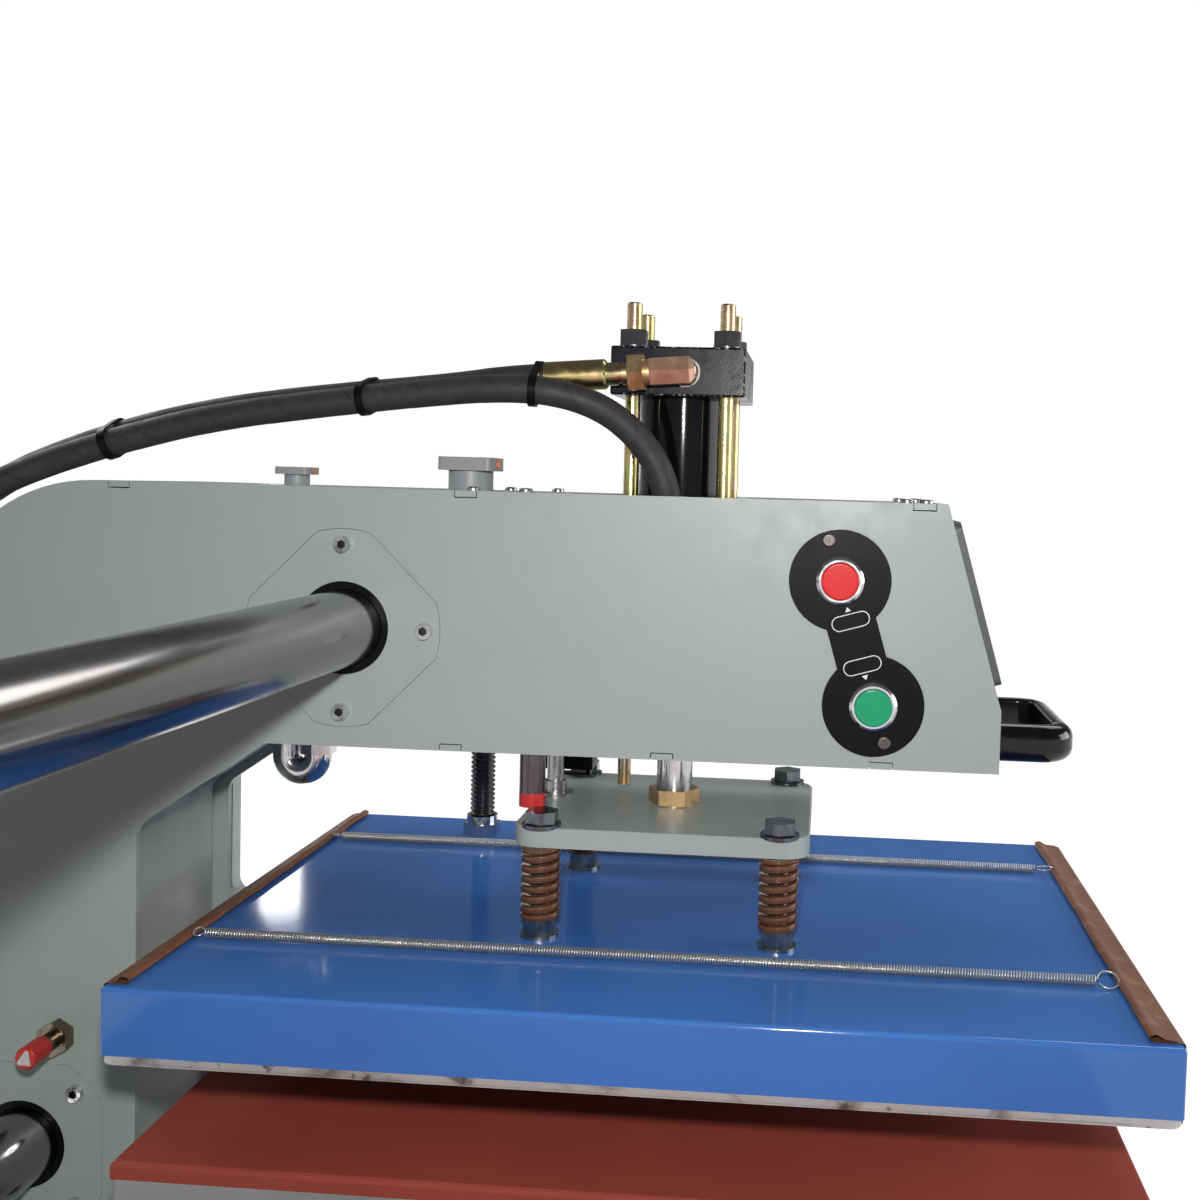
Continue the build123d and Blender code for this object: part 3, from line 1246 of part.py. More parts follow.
def shaft_parts():
    frame = end_frame()
    clamps = [piece for centre, turn in BEARINGS for piece in shaft_clamp(centre)]
    save("end_frames", [frame, mirrored(frame)])
    save("shaft_clamps", clamps + [mirrored(piece) for piece in clamps] + foot_bolts())
    bars = [rod_x(-SHAFT_END, SHAFT_END, *centre, SHAFT_R) for centre, turn in BEARINGS]
    save("guide_shafts", [chamfer(bar.edges().filter_by(GeomType.CIRCLE), 1.5) for bar in bars])


# Base cabinet and what it holds

def base_parts():
    half_y = (BASE_BACK - BASE_FRONT) / 2
    deck = Pos(0, BASE_FRONT + half_y, 0) * rounded_plate(BASE_HALF_X, half_y, 8, DECK_BOTTOM, DECK_TOP)
    tray = block(-BASE_HALF_X, BASE_HALF_X, BASE_FRONT, BASE_BACK, TRAY_BOTTOM, TRAY_TOP)
    posts = []
    feet = []
    for sx, y0 in ((-1, BASE_FRONT), (1, BASE_FRONT), (-1, BASE_BACK - POST_W), (1, BASE_BACK - POST_W)):
        x0 = -BASE_HALF_X if sx < 0 else BASE_HALF_X - POST_W
        post = block(x0, x0 + POST_W, y0, y0 + POST_W, TRAY_TOP, DECK_BOTTOM)
        hollow = block(x0 + POST_WALL, x0 + POST_W - POST_WALL, y0 + POST_WALL, y0 + POST_W - POST_WALL,
                       TRAY_TOP - 1, DECK_BOTTOM + 1)
        posts.append(post - hollow)
        x = sx * (BASE_HALF_X - POST_W)
        y = y0 + POST_W if y0 < 0 else y0
        feet.append(rod(x, y, FLOOR_Z, FLOOR_Z + 14, FOOT_R) + rod(x, y, FLOOR_Z + 14, TRAY_BOTTOM, 9)
                    + hexagon(x, y, TRAY_BOTTOM - 12, TRAY_BOTTOM, 26))
    save("base_frame", [deck, tray] + posts)
    save("levelling_feet", feet)
    save("cabinet_panels", cabinet_panels())


def louvred(panel, cutter, count, pitch):
    for i in range(count):
        panel -= Pos(0, 0, i * pitch) * cutter
    return panel


def cabinet_panels():
    """Front, back and two side sheets between the posts, the last three with louvre slots."""
    y0 = BASE_FRONT + POST_W
    y1 = BASE_BACK - POST_W
    x1 = BASE_HALF_X - POST_W
    z0 = TRAY_TOP + LOUVRE_FOOT
    z1 = z0 + LOUVRE_T
    front = block(-x1, x1, BASE_FRONT, BASE_FRONT + PANEL_SHEET, TRAY_TOP, DECK_BOTTOM)
    back = block(-x1, x1, BASE_BACK - PANEL_SHEET, BASE_BACK, TRAY_TOP, DECK_BOTTOM)
    side = block(BASE_HALF_X - PANEL_SHEET, BASE_HALF_X, y0, y1, TRAY_TOP, DECK_BOTTOM)
    across = block(-LOUVRE_LENGTH / 2, LOUVRE_LENGTH / 2, BASE_BACK - 10, BASE_BACK + 10, z0, z1)
    louvre_end = y1 - LOUVRE_FROM_BACK
    along = block(BASE_HALF_X - 10, BASE_HALF_X + 10, louvre_end - LOUVRE_LENGTH, louvre_end, z0, z1)
    side = louvred(side, along, LOUVRES, LOUVRE_PITCH)
    return [front, louvred(back, across, LOUVRES, LOUVRE_PITCH), side, mirrored(side)]


def standing_box(size, right, back):
    """Limits of a box on the tray whose right and back sides are given."""
    width, depth, height = size
    return right - width, right, back - depth, back, TRAY_TOP, TRAY_TOP + height


def power_parts():
    """Oil tank with its motor and pump, valve block and electrical box, all on the cabinet's tray."""
    tank_box = standing_box(TANK_SIZE, BASE_HALF_X - TANK_FROM_RIGHT, BASE_BACK - TANK_FROM_BACK)
    x0, x1, y0, y1, foot, top = tank_box
    tank = fillet(block(*tank_box).edges().filter_by(Axis.Z), TANK_CORNER_R)
    tank += rod(x1 - 2 * FILLER_R, y0 + 2 * FILLER_R, top, top + 22, FILLER_R)
    mx, my = x0 + MOTOR_FROM_SIDE, (y0 + y1) / 2
    motor_foot = top + FLANGE_LENGTH
    motor = rod(mx, my, top, motor_foot, MOTOR_R * 0.76)
    motor += rod(mx, my, motor_foot, motor_foot + MOTOR_LENGTH, MOTOR_R)
    for k in range(MOTOR_FINS):
        place = Pos(mx, my, motor_foot + MOTOR_LENGTH / 2) * Rot(Z=k * 360 / MOTOR_FINS)
        motor += place * Pos(MOTOR_R + 2, 0, 0) * Box(8, 4, MOTOR_LENGTH - 40)
    box_foot = motor_foot + TERMINAL_FOOT
    motor += block(mx + MOTOR_R - 6, mx + MOTOR_R + TERMINAL_REACH, my - TERMINAL_HALF, my + TERMINAL_HALF,
                   box_foot, box_foot + TERMINAL_H)
    bx = mx + VALVE_OFFSET
    valve_top = top + VALVE_H
    coil_z = valve_top + COIL_BLOCK_H / 2
    valve = block(bx - VALVE_HALF, bx + VALVE_HALF, my - 40, my + 40, top, valve_top)
    valve += block(bx - 25, bx + 25, my - 30, my + 30, valve_top, valve_top + COIL_BLOCK_H)
    valve += rod_y(my + 30, my + 30 + SOLENOID_LENGTH, bx, coil_z, SOLENOID_R)
    valve += rod_y(my - 30 - SOLENOID_LENGTH, my - 30, bx, coil_z, SOLENOID_R)
    limits = standing_box(BOX_SIZE, BASE_HALF_X - BOX_FROM_RIGHT, BASE_BACK - BOX_FROM_BACK)
    bx0, bx1, by0, by1, bz0, bz1 = limits
    wall = PANEL_SHEET
    box = block(*limits) - block(bx0 + wall, bx1 - wall, by0 + wall, by1 - wall, bz0 + wall, bz1 - wall)
    save("oil_tank", [tank])
    save("pump_motor", [motor, valve])
    save("electrical_box", [box])


def head_parts():
    side_plates()
    save("upper_cover", [upper_cover()], HEAD)
    save("lower_cover", [lower_cover()], HEAD)
    save("front_cover", [front_cover()], HEAD)
    save("terminal_plugs", plugs(), HEAD)
    screws = bearing_parts()
    save("head_screws", screws + cover_screws(), HEAD)
    shock = shock_absorber()
    save("shock_absorbers", shock + [mirrored(piece) for piece in shock], HEAD)
    save("bumper_cap_left", [bumper_cap()], HEAD)
    save("bumper_cap_right", [mirrored(bumper_cap())], HEAD)
    cylinder_parts()
    hoses()
    save("conduit_elbow", conduit_elbow(), HEAD)
    save("stop_post", stop_post(), HEAD)
    save("position_sensors", position_sensors(), HEAD)
    save("button_plate", [button_plate()], HEAD)
    save("button_bezels", [bezel(*RED_POS), bezel(*GREEN_POS)], HEAD)
    save("red_button", [button(*RED_POS)], HEAD)
    save("green_button", [button(*GREEN_POS)], HEAD)
    save("control_panel", control_panel(), HEAD)
    save("pull_handle", [pull_handle()], HEAD)


head_parts()
ram_parts()
platen_parts()
conduit_parts()
tables()
shaft_parts()
base_parts()
power_parts()
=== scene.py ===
import json
from math import cos, hypot, pi, radians, sin, tau

import bmesh
import bpy
from mathutils import Matrix, Vector, noise


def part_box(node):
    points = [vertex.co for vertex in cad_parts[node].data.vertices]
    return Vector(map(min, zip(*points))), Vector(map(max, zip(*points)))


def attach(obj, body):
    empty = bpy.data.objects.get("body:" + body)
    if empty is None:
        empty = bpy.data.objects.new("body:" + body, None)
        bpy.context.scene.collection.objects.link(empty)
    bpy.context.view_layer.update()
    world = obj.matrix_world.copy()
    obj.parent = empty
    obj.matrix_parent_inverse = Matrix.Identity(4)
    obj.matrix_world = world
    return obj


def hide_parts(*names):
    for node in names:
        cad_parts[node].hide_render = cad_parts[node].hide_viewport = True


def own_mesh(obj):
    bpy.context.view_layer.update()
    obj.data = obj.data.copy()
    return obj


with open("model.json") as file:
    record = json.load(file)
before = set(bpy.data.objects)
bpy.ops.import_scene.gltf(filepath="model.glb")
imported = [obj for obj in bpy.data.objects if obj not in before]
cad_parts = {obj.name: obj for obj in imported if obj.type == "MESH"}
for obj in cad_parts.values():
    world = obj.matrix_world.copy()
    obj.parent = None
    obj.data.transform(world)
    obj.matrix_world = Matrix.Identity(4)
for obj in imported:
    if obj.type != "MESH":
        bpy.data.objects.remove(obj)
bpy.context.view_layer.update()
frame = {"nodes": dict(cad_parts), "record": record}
nodes = frame["nodes"]

# The head's own origin: the piston axis at the height of the raised platen's top.
MM = 0.001
rod_low, rod_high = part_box("piston_rod")
ORIGIN = Vector(((rod_low.x + rod_high.x) / 2, (rod_low.y + rod_high.y) / 2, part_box("platen_cover")[1].z))


def at(x, y, z):
    """Point given in millimetres from the head's origin, in the row frame."""
    return ORIGIN + Vector((x, y, z)) * MM


def local(point):
    """Millimetres from the head's origin of a point in the row frame."""
    return (point - ORIGIN) / MM


def head_box(node):
    low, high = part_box(node)
    return local(low), local(high)


# Camera, from the vanishing lines of the photograph
CAMERA_PLACE = (-893.5, -100, 291)
CAMERA_YAW = 0.0698
CAMERA_PITCH = 0.0471
CAMERA_ROLL = 0.0281
CAMERA_LENS = 39.14
CAMERA_SHIFT = (-0.1125, -0.0427)


def make_camera():
    forward = Vector((cos(CAMERA_YAW), sin(CAMERA_YAW), 0))
    right = Vector((sin(CAMERA_YAW), -cos(CAMERA_YAW), 0))
    up = Vector((0, 0, 1))
    aim = forward * cos(CAMERA_PITCH) - up * sin(CAMERA_PITCH)
    top = forward * sin(CAMERA_PITCH) + up * cos(CAMERA_PITCH)
    side = right * cos(CAMERA_ROLL) + top * sin(CAMERA_ROLL)
    top = top * cos(CAMERA_ROLL) - right * sin(CAMERA_ROLL)
    data = bpy.data.cameras.new("camera")
    data.lens = CAMERA_LENS
    data.sensor_width = 36
    data.shift_x, data.shift_y = CAMERA_SHIFT
    data.clip_start = 0.01
    camera = bpy.data.objects.new("camera", data)
    turn = Matrix((side, top, -aim)).transposed().to_4x4()
    camera.matrix_world = Matrix.Translation(at(*CAMERA_PLACE)) @ turn
    bpy.context.scene.collection.objects.link(camera)
    bpy.context.scene.camera = camera


# Materials

def shaded(color, factor, lift=0.0):
    """The colour times a factor, plus a lift, kept below white."""
    return tuple(min(1, c * factor + lift) for c in color)


class Finish:
    """Principled material built up in small procedural steps, on the object's own coordinates in metres."""

    def __init__(self, name, color, roughness, metallic=0.0, **fixed):
        self.material = bpy.data.materials.new(name)
        self.material.use_nodes = True
        self.material.diffuse_color = (*color, 1)
        self.tree = self.material.node_tree
        self.shader = self.tree.nodes["Principled BSDF"]
        self.shader.inputs["Base Color"].default_value = (*color, 1)
        self.shader.inputs["Roughness"].default_value = roughness
        self.shader.inputs["Metallic"].default_value = metallic
        for socket, value in fixed.items():
            self.shader.inputs[socket.replace("_", " ")].default_value = value
        self.base = (*color, 1)
        self.color = None
        self.normal = None
        self.place = self.node("ShaderNodeTexCoord").outputs["Object"]

    def node(self, kind, links=None, **settings):
        made = self.tree.nodes.new(kind)
        for key, value in settings.items():
            setattr(made, key, value)
        for socket, value in (links or {}).items():
            if isinstance(value, bpy.types.NodeSocket):
                self.tree.links.new(value, made.inputs[socket])
            else:
                made.inputs[socket].default_value = value
        return made

    def stretched(self, x, y, z):
        scaled = self.node("ShaderNodeVectorMath", {0: self.place, 1: (x, y, z)}, operation="MULTIPLY")
        return scaled.outputs["Vector"]

    def noise(self, scale, detail=2.0, place=None, warp=0.0):
        made = self.node("ShaderNodeTexNoise", {"Vector": place or self.place, "Scale": scale,
                                                "Detail": detail, "Distortion": warp})
        return made.outputs["Fac"]

    def bands(self, direction, scale, place=None):
        """Waves along one axis, tau / (20 * scale) apart."""
        made = self.node("ShaderNodeTexWave", {"Vector": place or self.place, "Scale": scale},
                         bands_direction=direction)
        return made.outputs["Fac"]

    def fit(self, value, low, high, to_low=0.0, to_high=1.0):
        made = self.node("ShaderNodeMapRange", {"Value": value, "From Min": low, "From Max": high,
                                                "To Min": to_low, "To Max": to_high})
        return made.outputs["Result"]

    def sum(self, operation, a, b=0.0, c=0.0):
        made = self.node("ShaderNodeMath", {0: a, 1: b}, operation=operation)
        return made.outputs["Value"]

    def axis(self, name, place=None):
        made = self.node("ShaderNodeSeparateXYZ", {"Vector": place or self.place})
        return made.outputs[name]

    def tint(self, mask, color):
        """Moves the colour towards the given one where the mask is high."""
        made = self.node("ShaderNodeMix", {0: mask, 6: self.color or self.base, 7: (*color, 1)},
                         data_type="RGBA")
        self.color = made.outputs[2]
        self.tree.links.new(self.color, self.shader.inputs["Base Color"])
        return self

    def shine(self, value, low, high):
        """Roughness between two limits, following a value from 0 to 1."""
        self.tree.links.new(self.fit(value, 0.25, 0.75, low, high), self.shader.inputs["Roughness"])
        return self

    def relief(self, height, depth, strength=1.0):
        """Bump whose full height is the given depth in millimetres."""
        links = {"Height": height, "Strength": strength, "Distance": depth * MM}
        if self.normal:
            links["Normal"] = self.normal
        self.normal = self.node("ShaderNodeBump", links).outputs["Normal"]
        self.tree.links.new(self.normal, self.shader.inputs["Normal"])
        return self

    def relief_of_drawing(self):
        """Fine marks and a drift of tone, as drawn wire has."""
        self.tint(self.fit(self.noise(20, 2), 0.4, 0.7, 0, 0.4), shaded(self.base[:3], 0.75))
        return self.relief(self.noise(2500, 1), 0.004, 0.3)


def powder_coat(name, color, roughness=0.36):
    coat = Finish(name, color, roughness, Specular_IOR_Level=0.4)
    grain = coat.noise(1500, 2)
    coat.tint(coat.fit(coat.noise(7, 3), 0.35, 0.7, 0, 0.25), shaded(color, 0.86))
    coat.tint(coat.fit(grain, 0.62, 0.72, 0, 0.3), shaded(color, 1.3, 0.05))
    coat.relief(grain, 0.12, 0.7).relief(coat.noise(240, 2), 0.04, 0.5)
    return coat.shine(coat.noise(60, 3), roughness - 0.06, roughness + 0.1)


def gloss_paint(name, color, roughness, ripple, specular):
    """Smooth paint whose surface ripples a little, at two scales."""
    paint = Finish(name, color, roughness, Specular_IOR_Level=specular)
    paint.tint(paint.fit(paint.noise(12, 4), 0.4, 0.75, 0, 0.3), shaded(color, 0.75))
    return paint.relief(paint.noise(170, 1.5), ripple, 0.7).relief(paint.noise(700, 1), ripple * 0.45, 0.9)


def turned_metal(name, color, roughness, stretch, depth=0.02, metallic=1.0):
    """Metal with fine machining marks; the coordinates are stretched across the marks."""
    metal = Finish(name, color, roughness, metallic)
    marks = metal.noise(1, 3, metal.stretched(*stretch))
    metal.tint(metal.fit(metal.noise(30, 4), 0.4, 0.7, 0, 0.35), shaded(color, 0.7))
    return metal.relief(marks, depth, 0.4).shine(marks, roughness - 0.08, roughness + 0.12)


def plated(name, color, tones, roughness=0.28, metallic=1.0):
    """Plated steel whose colour drifts between tones."""
    metal = Finish(name, color, roughness, metallic)
    for i, tone in enumerate(tones):
        drift = metal.noise(45 + 35 * i, 2, metal.stretched(1, 1, 0.35 + 0.3 * i), 0.6)
        metal.tint(metal.fit(drift, 0.45, 0.62, 0, 0.75), tone)
    metal.relief(metal.noise(700, 3), 0.02, 0.4)
    return metal.shine(metal.noise(120, 3), roughness - 0.08, roughness + 0.14)


def plastic(name, color, roughness, grain=0.02, **extra):
    """Moulded plastic with a fine grain."""
    made = Finish(name, color, roughness, **extra)
    made.tint(made.fit(made.noise(25, 3), 0.4, 0.75, 0, 0.4), shaded(color, 0.8))
    made.relief(made.noise(1400, 2), grain, 0.5)
    return made.shine(made.noise(90, 2), roughness - 0.05, roughness + 0.08)


def ground_chrome():
    """Polished shaft: faint rings from grinding, and a film of oil that drifts along it."""
    metal = Finish("ground_chrome", (0.3, 0.29, 0.285), 0.16, 1.0)
    oil = metal.noise(9, 3, metal.stretched(0.5, 1, 1))
    metal.tint(metal.fit(oil, 0.4, 0.65, 0, 0.5), (0.25, 0.235, 0.22))
    metal.relief(metal.noise(1, 2, metal.stretched(1600, 12, 12)), 0.0012, 0.3)
    return metal.shine(metal.noise(14, 3, metal.stretched(0.6, 1, 1)), 0.12, 0.22)


def silicone():
    """Matt red rubber with a fine grain."""
    pad = Finish("silicone_pad", (0.3, 0.052, 0.034), 0.72, Specular_IOR_Level=0.3)
    fine = pad.noise(1100, 3)
    pad.tint(pad.fit(pad.noise(14, 4), 0.35, 0.7, 0, 0.5), (0.24, 0.04, 0.026))
    pad.tint(pad.fit(fine, 0.55, 0.75, 0, 0.5), (0.38, 0.09, 0.062))
    return pad.relief(fine, 0.12, 0.6).relief(pad.noise(60, 3), 0.1, 0.4)


def glass_cloth():
    """Coated glass cloth: a fine weave under stains, with painted shade darkening thin crease lines along the
    hems.
    """
    cloth = Finish("coated_glass_cloth", (0.2, 0.08, 0.04), 0.42, Specular_IOR_Level=0.25)
    weave = cloth.sum("MAXIMUM", cloth.bands("X", 620), cloth.bands("Y", 620))
    cloth.tint(cloth.fit(cloth.noise(22, 4), 0.4, 0.7, 0, 0.7), (0.13, 0.055, 0.03))
    cloth.tint(cloth.fit(cloth.noise(75, 3), 0.55, 0.75, 0, 0.6), (0.36, 0.19, 0.12))
    # Painted shade: thin lines along the hems are darkened as if shade fell in creases.
    painted_crease_shade = cloth.noise(160, 3, cloth.stretched(0.3, 1, 1))
    cloth.tint(cloth.fit(painted_crease_shade, 0.62, 0.7, 0, 0.6), (0.07, 0.035, 0.025))
    cloth.relief(weave, 0.05, 0.5).relief(cloth.noise(90, 3, warp=1.0), 0.5, 0.5)
    return cloth.shine(cloth.noise(40, 3), 0.28, 0.5)


def board():
    """Pale fibre board."""
    made = Finish("fibre_board", (0.62, 0.58, 0.5), 0.85)
    made.tint(made.fit(made.noise(300, 4, made.stretched(1, 0.2, 4)), 0.4, 0.7, 0, 0.5), (0.45, 0.41, 0.34))
    return made.relief(made.noise(500, 4), 0.2, 0.6)


def worn_plate():
    """Machined aluminium plate with heat stains."""
    plate = turned_metal("heated_aluminium", (0.5, 0.49, 0.49), 0.36, (60, 60, 1800), 0.03, 0.35)
    stains = plate.noise(28, 4, plate.stretched(1, 1, 2.2), 0.8)
    plate.tint(plate.fit(stains, 0.5, 0.66, 0, 0.85), (0.12, 0.09, 0.065))
    plate.tint(plate.fit(plate.noise(110, 4), 0.6, 0.68, 0, 0.8), (0.05, 0.04, 0.035))
    return plate


def chipped_block(low, high):
    """Black painted block whose paint is rubbed off along its edges."""
    paint = gloss_paint("black_block_paint", (0.005, 0.006, 0.01), 0.2, 0.06, 0.15)
    centre = (low + high) / 2
    half = (high - low) / 2
    sides = []
    for name, middle, reach in zip("XYZ", centre, half):
        off = paint.sum("ABSOLUTE", paint.sum("SUBTRACT", paint.axis(name), middle))
        sides.append(paint.sum("SUBTRACT", reach, off))
    ordered = [paint.sum("MAXIMUM", sides[0], sides[1]), paint.sum("MAXIMUM", sides[1], sides[2]),
               paint.sum("MAXIMUM", sides[0], sides[2])]
    edge = paint.sum("MINIMUM", paint.sum("MINIMUM", ordered[0], ordered[1]), ordered[2])
    ragged = paint.sum("ADD", edge, paint.fit(paint.noise(420, 4), 0.35, 0.65, -0.5 * MM, 1.6 * MM))
    paint.tint(paint.fit(ragged, 0.55 * MM, 0.9 * MM, 0.85, 0), (0.34, 0.34, 0.33))
    paint.tint(paint.fit(paint.noise(800, 3), 0.71, 0.74, 0, 0.5), (0.25, 0.25, 0.25))
    return paint.shine(paint.noise(55, 3), 0.16, 0.34)


def threaded(finish, pitch, depth):
    """Adds a thread along Z to a finish, with painted shade darkening the roots of the thread."""
    wave = finish.bands("Z", tau / (20 * pitch * MM))
    # Painted shade: the colour darkens where the wave is low, in the thread's roots.
    finish.tint(finish.fit(wave, 0.35, 0.0, 0, 0.6), shaded(finish.base[:3], 0.3))
    return finish.relief(wave, depth)


HOSE_WRAP = 47


def wrapped_hose():
    """Cloth-marked rubber hose: UV runs round the hose and, in metres, along it."""
    hose = Finish("wrapped_hose", (0.026, 0.024, 0.024), 0.6, Specular_IOR_Level=0.35)
    uv = hose.node("ShaderNodeUVMap").outputs["UV"]
    across = hose.axis("X", uv)
    along = hose.axis("Y", uv)
    turn = hose.sum("ADD", hose.sum("DIVIDE", along, HOSE_WRAP * MM), hose.sum("MULTIPLY", across, -1.0))
    saw = hose.sum("FRACT", turn)
    line = hose.fit(hose.sum("ABSOLUTE", hose.sum("SUBTRACT", saw, 0.5)), 0.0, 0.022, 1, 0)
    ridge = hose.noise(1, 3, hose.stretched(900, 900, 900))
    threads = hose.bands("X", 9, uv)
    hose.tint(hose.fit(hose.noise(35, 4), 0.35, 0.7, 0, 0.6), (0.017, 0.016, 0.016))
    hose.tint(hose.fit(hose.noise(260, 3), 0.55, 0.72, 0, 0.45), (0.05, 0.046, 0.044))
    hose.tint(line, (0.008, 0.008, 0.008))
    hose.relief(saw, 0.35, 0.6).relief(ridge, 0.1, 0.5).relief(threads, 0.04, 0.3)
    return hose.shine(hose.noise(80, 3), 0.5, 0.72)


def button_plastic(name, color):
    """Clear coloured plastic over a faint lens grid."""
    made = Finish(name, color, 0.25, Specular_IOR_Level=0.3, Subsurface_Weight=0.08)
    grid = made.sum("MULTIPLY", made.bands("Z", 210), made.bands("Y", 210))
    made.tint(made.fit(grid, 0.5, 0.9, 0, 0.22), shaded(color, 1.5, 0.04))
    return made.relief(made.noise(160, 2), 0.02, 0.4)


GREY = (0.345, 0.385, 0.365)
FINISHES = {
    "grey_paint": powder_coat("grey_powder_coat", GREY),
    "cabinet_paint": powder_coat("cabinet_powder_coat", (0.36, 0.4, 0.385), 0.46),
    "dark_paint": powder_coat("dark_powder_coat", (0.075, 0.08, 0.082), 0.4),
    "black_paint": gloss_paint("black_gloss", (0.003, 0.003, 0.004), 0.1, 0.03, 0.13),
    "blue_paint": gloss_paint("blue_gloss", (0.05, 0.165, 0.485), 0.1, 0.016, 0.38),
    "spring_brown": gloss_paint("brown_spring_coat", (0.115, 0.046, 0.018), 0.16, 0.03, 0.45),
    "red_cap": plastic("red_plastic", (0.5, 0.022, 0.018), 0.35),
    "shaft_chrome": ground_chrome(),
    "chrome": plated("bright_chrome", (0.62, 0.62, 0.63), [(0.5, 0.5, 0.52)], 0.14),
    "steel": turned_metal("turned_steel", (0.42, 0.42, 0.41), 0.3, (260, 260, 1600)),
    "zinc": plated("zinc_plate", (0.34, 0.35, 0.35), [(0.25, 0.29, 0.3), (0.4, 0.39, 0.37)], 0.26),
    "yellow_zinc": plated("yellow_zinc", (0.45, 0.36, 0.16), [(0.5, 0.3, 0.24), (0.36, 0.4, 0.16)], 0.26),
    "brass": plated("brass", (0.5, 0.33, 0.16), [(0.4, 0.25, 0.12), (0.6, 0.45, 0.27)], 0.3, 0.8),
    "aluminium": turned_metal("milled_aluminium", (0.5, 0.5, 0.5), 0.34, (90, 1500, 1500), metallic=0.6),
    "hose_rubber": wrapped_hose(),
    "black_plastic": plastic("black_plastic", (0.004, 0.004, 0.005), 0.36, Specular_IOR_Level=0.09),
    "handle_plastic": plastic("black_gloss_plastic", (0.003, 0.003, 0.003), 0.13, 0.01,
                              Specular_IOR_Level=0.35),
    "grey_plastic": plastic("grey_plastic", (0.27, 0.28, 0.29), 0.45),
    "silicone": silicone(),
    "insulation": board(),
    "ptfe_cloth": glass_cloth(),
    "red_button": button_plastic("red_button_plastic", (0.7, 0.012, 0.01)),
    "green_button": button_plastic("green_button_plastic", (0.008, 0.33, 0.15)),
}

COPPER = plated("coppered_steel", (0.6, 0.36, 0.25), [(0.52, 0.28, 0.19), (0.68, 0.46, 0.34)], 0.33, 0.75)
BLACK_NUT = plated("blackened_nut", (0.07, 0.07, 0.075), [(0.11, 0.11, 0.115)], 0.3)
DARK_BOLT = plated("dark_bolt", (0.15, 0.165, 0.175), [(0.24, 0.27, 0.29), (0.07, 0.065, 0.07)], 0.2)
PLATE_SCREW = plated("plate_screw", (0.09, 0.08, 0.075), [(0.14, 0.12, 0.12)], 0.42, 0.8)
# Painted shade: a near-black finish for the screw sockets, standing for the shade inside the recess.
SOCKET_SHADE = plated("painted_socket_shade", (0.05, 0.05, 0.055), [(0.03, 0.03, 0.03)], 0.4)
DARK_POST = plated("dark_post", (0.11, 0.095, 0.105), [(0.08, 0.065, 0.075)], 0.2)
BUMPER_STEEL = plated("tinned_brass", (0.2, 0.165, 0.125), [(0.13, 0.105, 0.08), (0.27, 0.23, 0.18)], 0.24)
RED_SLEEVE = plastic("red_sleeve", (0.52, 0.02, 0.02), 0.4)
ORANGE = plastic("orange_plastic", (0.55, 0.2, 0.1), 0.4)
STUD_PITCH = 1.5
STUD_METAL = plated("threaded_stud", (0.26, 0.19, 0.09), [(0.3, 0.16, 0.11), (0.23, 0.2, 0.08)], 0.34, 0.9)
STUD = threaded(STUD_METAL, STUD_PITCH, 0.9)
WHITE_PRINT = plastic("white_print", (0.72, 0.72, 0.72), 0.5)
SEALANT = plastic("white_sealant", (0.6, 0.6, 0.57), 0.5, 0.3)
SPRING_WIRE = Finish("spring_wire", (0.56, 0.55, 0.52), 0.3, 0.85).relief_of_drawing()


def paint(obj, finish):
    obj.data.materials.clear()
    obj.data.materials.append(finish.material)


def paint_where(node, finish, test):
    """Gives another finish to the faces of a CAD node whose centre passes the test, in head millimetres."""
    mesh = nodes[node].data
    mesh.materials.append(finish.material)
    index = len(mesh.materials) - 1
    for face in mesh.polygons:
        if test(local(face.center)):
            face.material_index = index


def near(y, z, reach):
    """Test for faces within reach of an axis along X."""
    return lambda p: hypot(p.y - y, p.z - z) < reach


TIE_ROD_OFFSET = 31
TIE_ROD_R = 5.03
TIE_NUT_R = 12
TIE_NUT_T = 12
STUD_FOOT = 11
TOP_PORT_FOOT = 330
ELBOW_END = 16
FERRULE_SPAN = (30.2, 90)
LOW_FERRULES = 500
BEARINGS = ((211.8, 192.6, 0), (428.6, -165, pi / 4))
FLANGE_SCREW_RING = 54.5
FLANGE_SCREW_R = 8
SOCKET_R = 3.2
ARM_FACE = 69.25
BUTTON_PLATE_FACE = -69.35
BUTTON_PLATE_END = -90
BUMPER_ROD_R = 3.4
BOLT_HEADS = 70.85
RED_TIP = 9.05
PLUG_TIPS = ((-1000, 121.4), (235, 247.95))
SWITCH_SIDE = 50
SENSOR_NUT = (110.5, 115)
CLAMP_SCREWS_TOP = -240


def paint_tie_rods():
    top = head_box("cylinder_cap")[1].z
    paint_where("tie_rods", STUD, lambda p: p.z > top + STUD_FOOT)
    for sx in (-1, 1):
        for sy in (-1, 1):
            def is_nut(p):
                away = hypot(p.x - sx * TIE_ROD_OFFSET, p.y - sy * TIE_ROD_OFFSET)
                return top - 0.1 < p.z < top + TIE_NUT_T and TIE_ROD_R < away < TIE_NUT_R
            paint_where("tie_rods", BLACK_NUT, is_nut)


def paint_fittings():
    """Coppered elbow at the upper port, and yellow zinc on the ferrules at both ends of the hoses."""
    start, end = FERRULE_SPAN
    paint_where("hose_fittings", COPPER, lambda p: p.y < ELBOW_END and p.z > TOP_PORT_FOOT)
    paint_where("hose_fittings", FINISHES["yellow_zinc"], lambda p: start < p.y < end and p.z > TOP_PORT_FOOT)
    paint_where("hose_fittings", FINISHES["yellow_zinc"], lambda p: p.y > LOW_FERRULES)


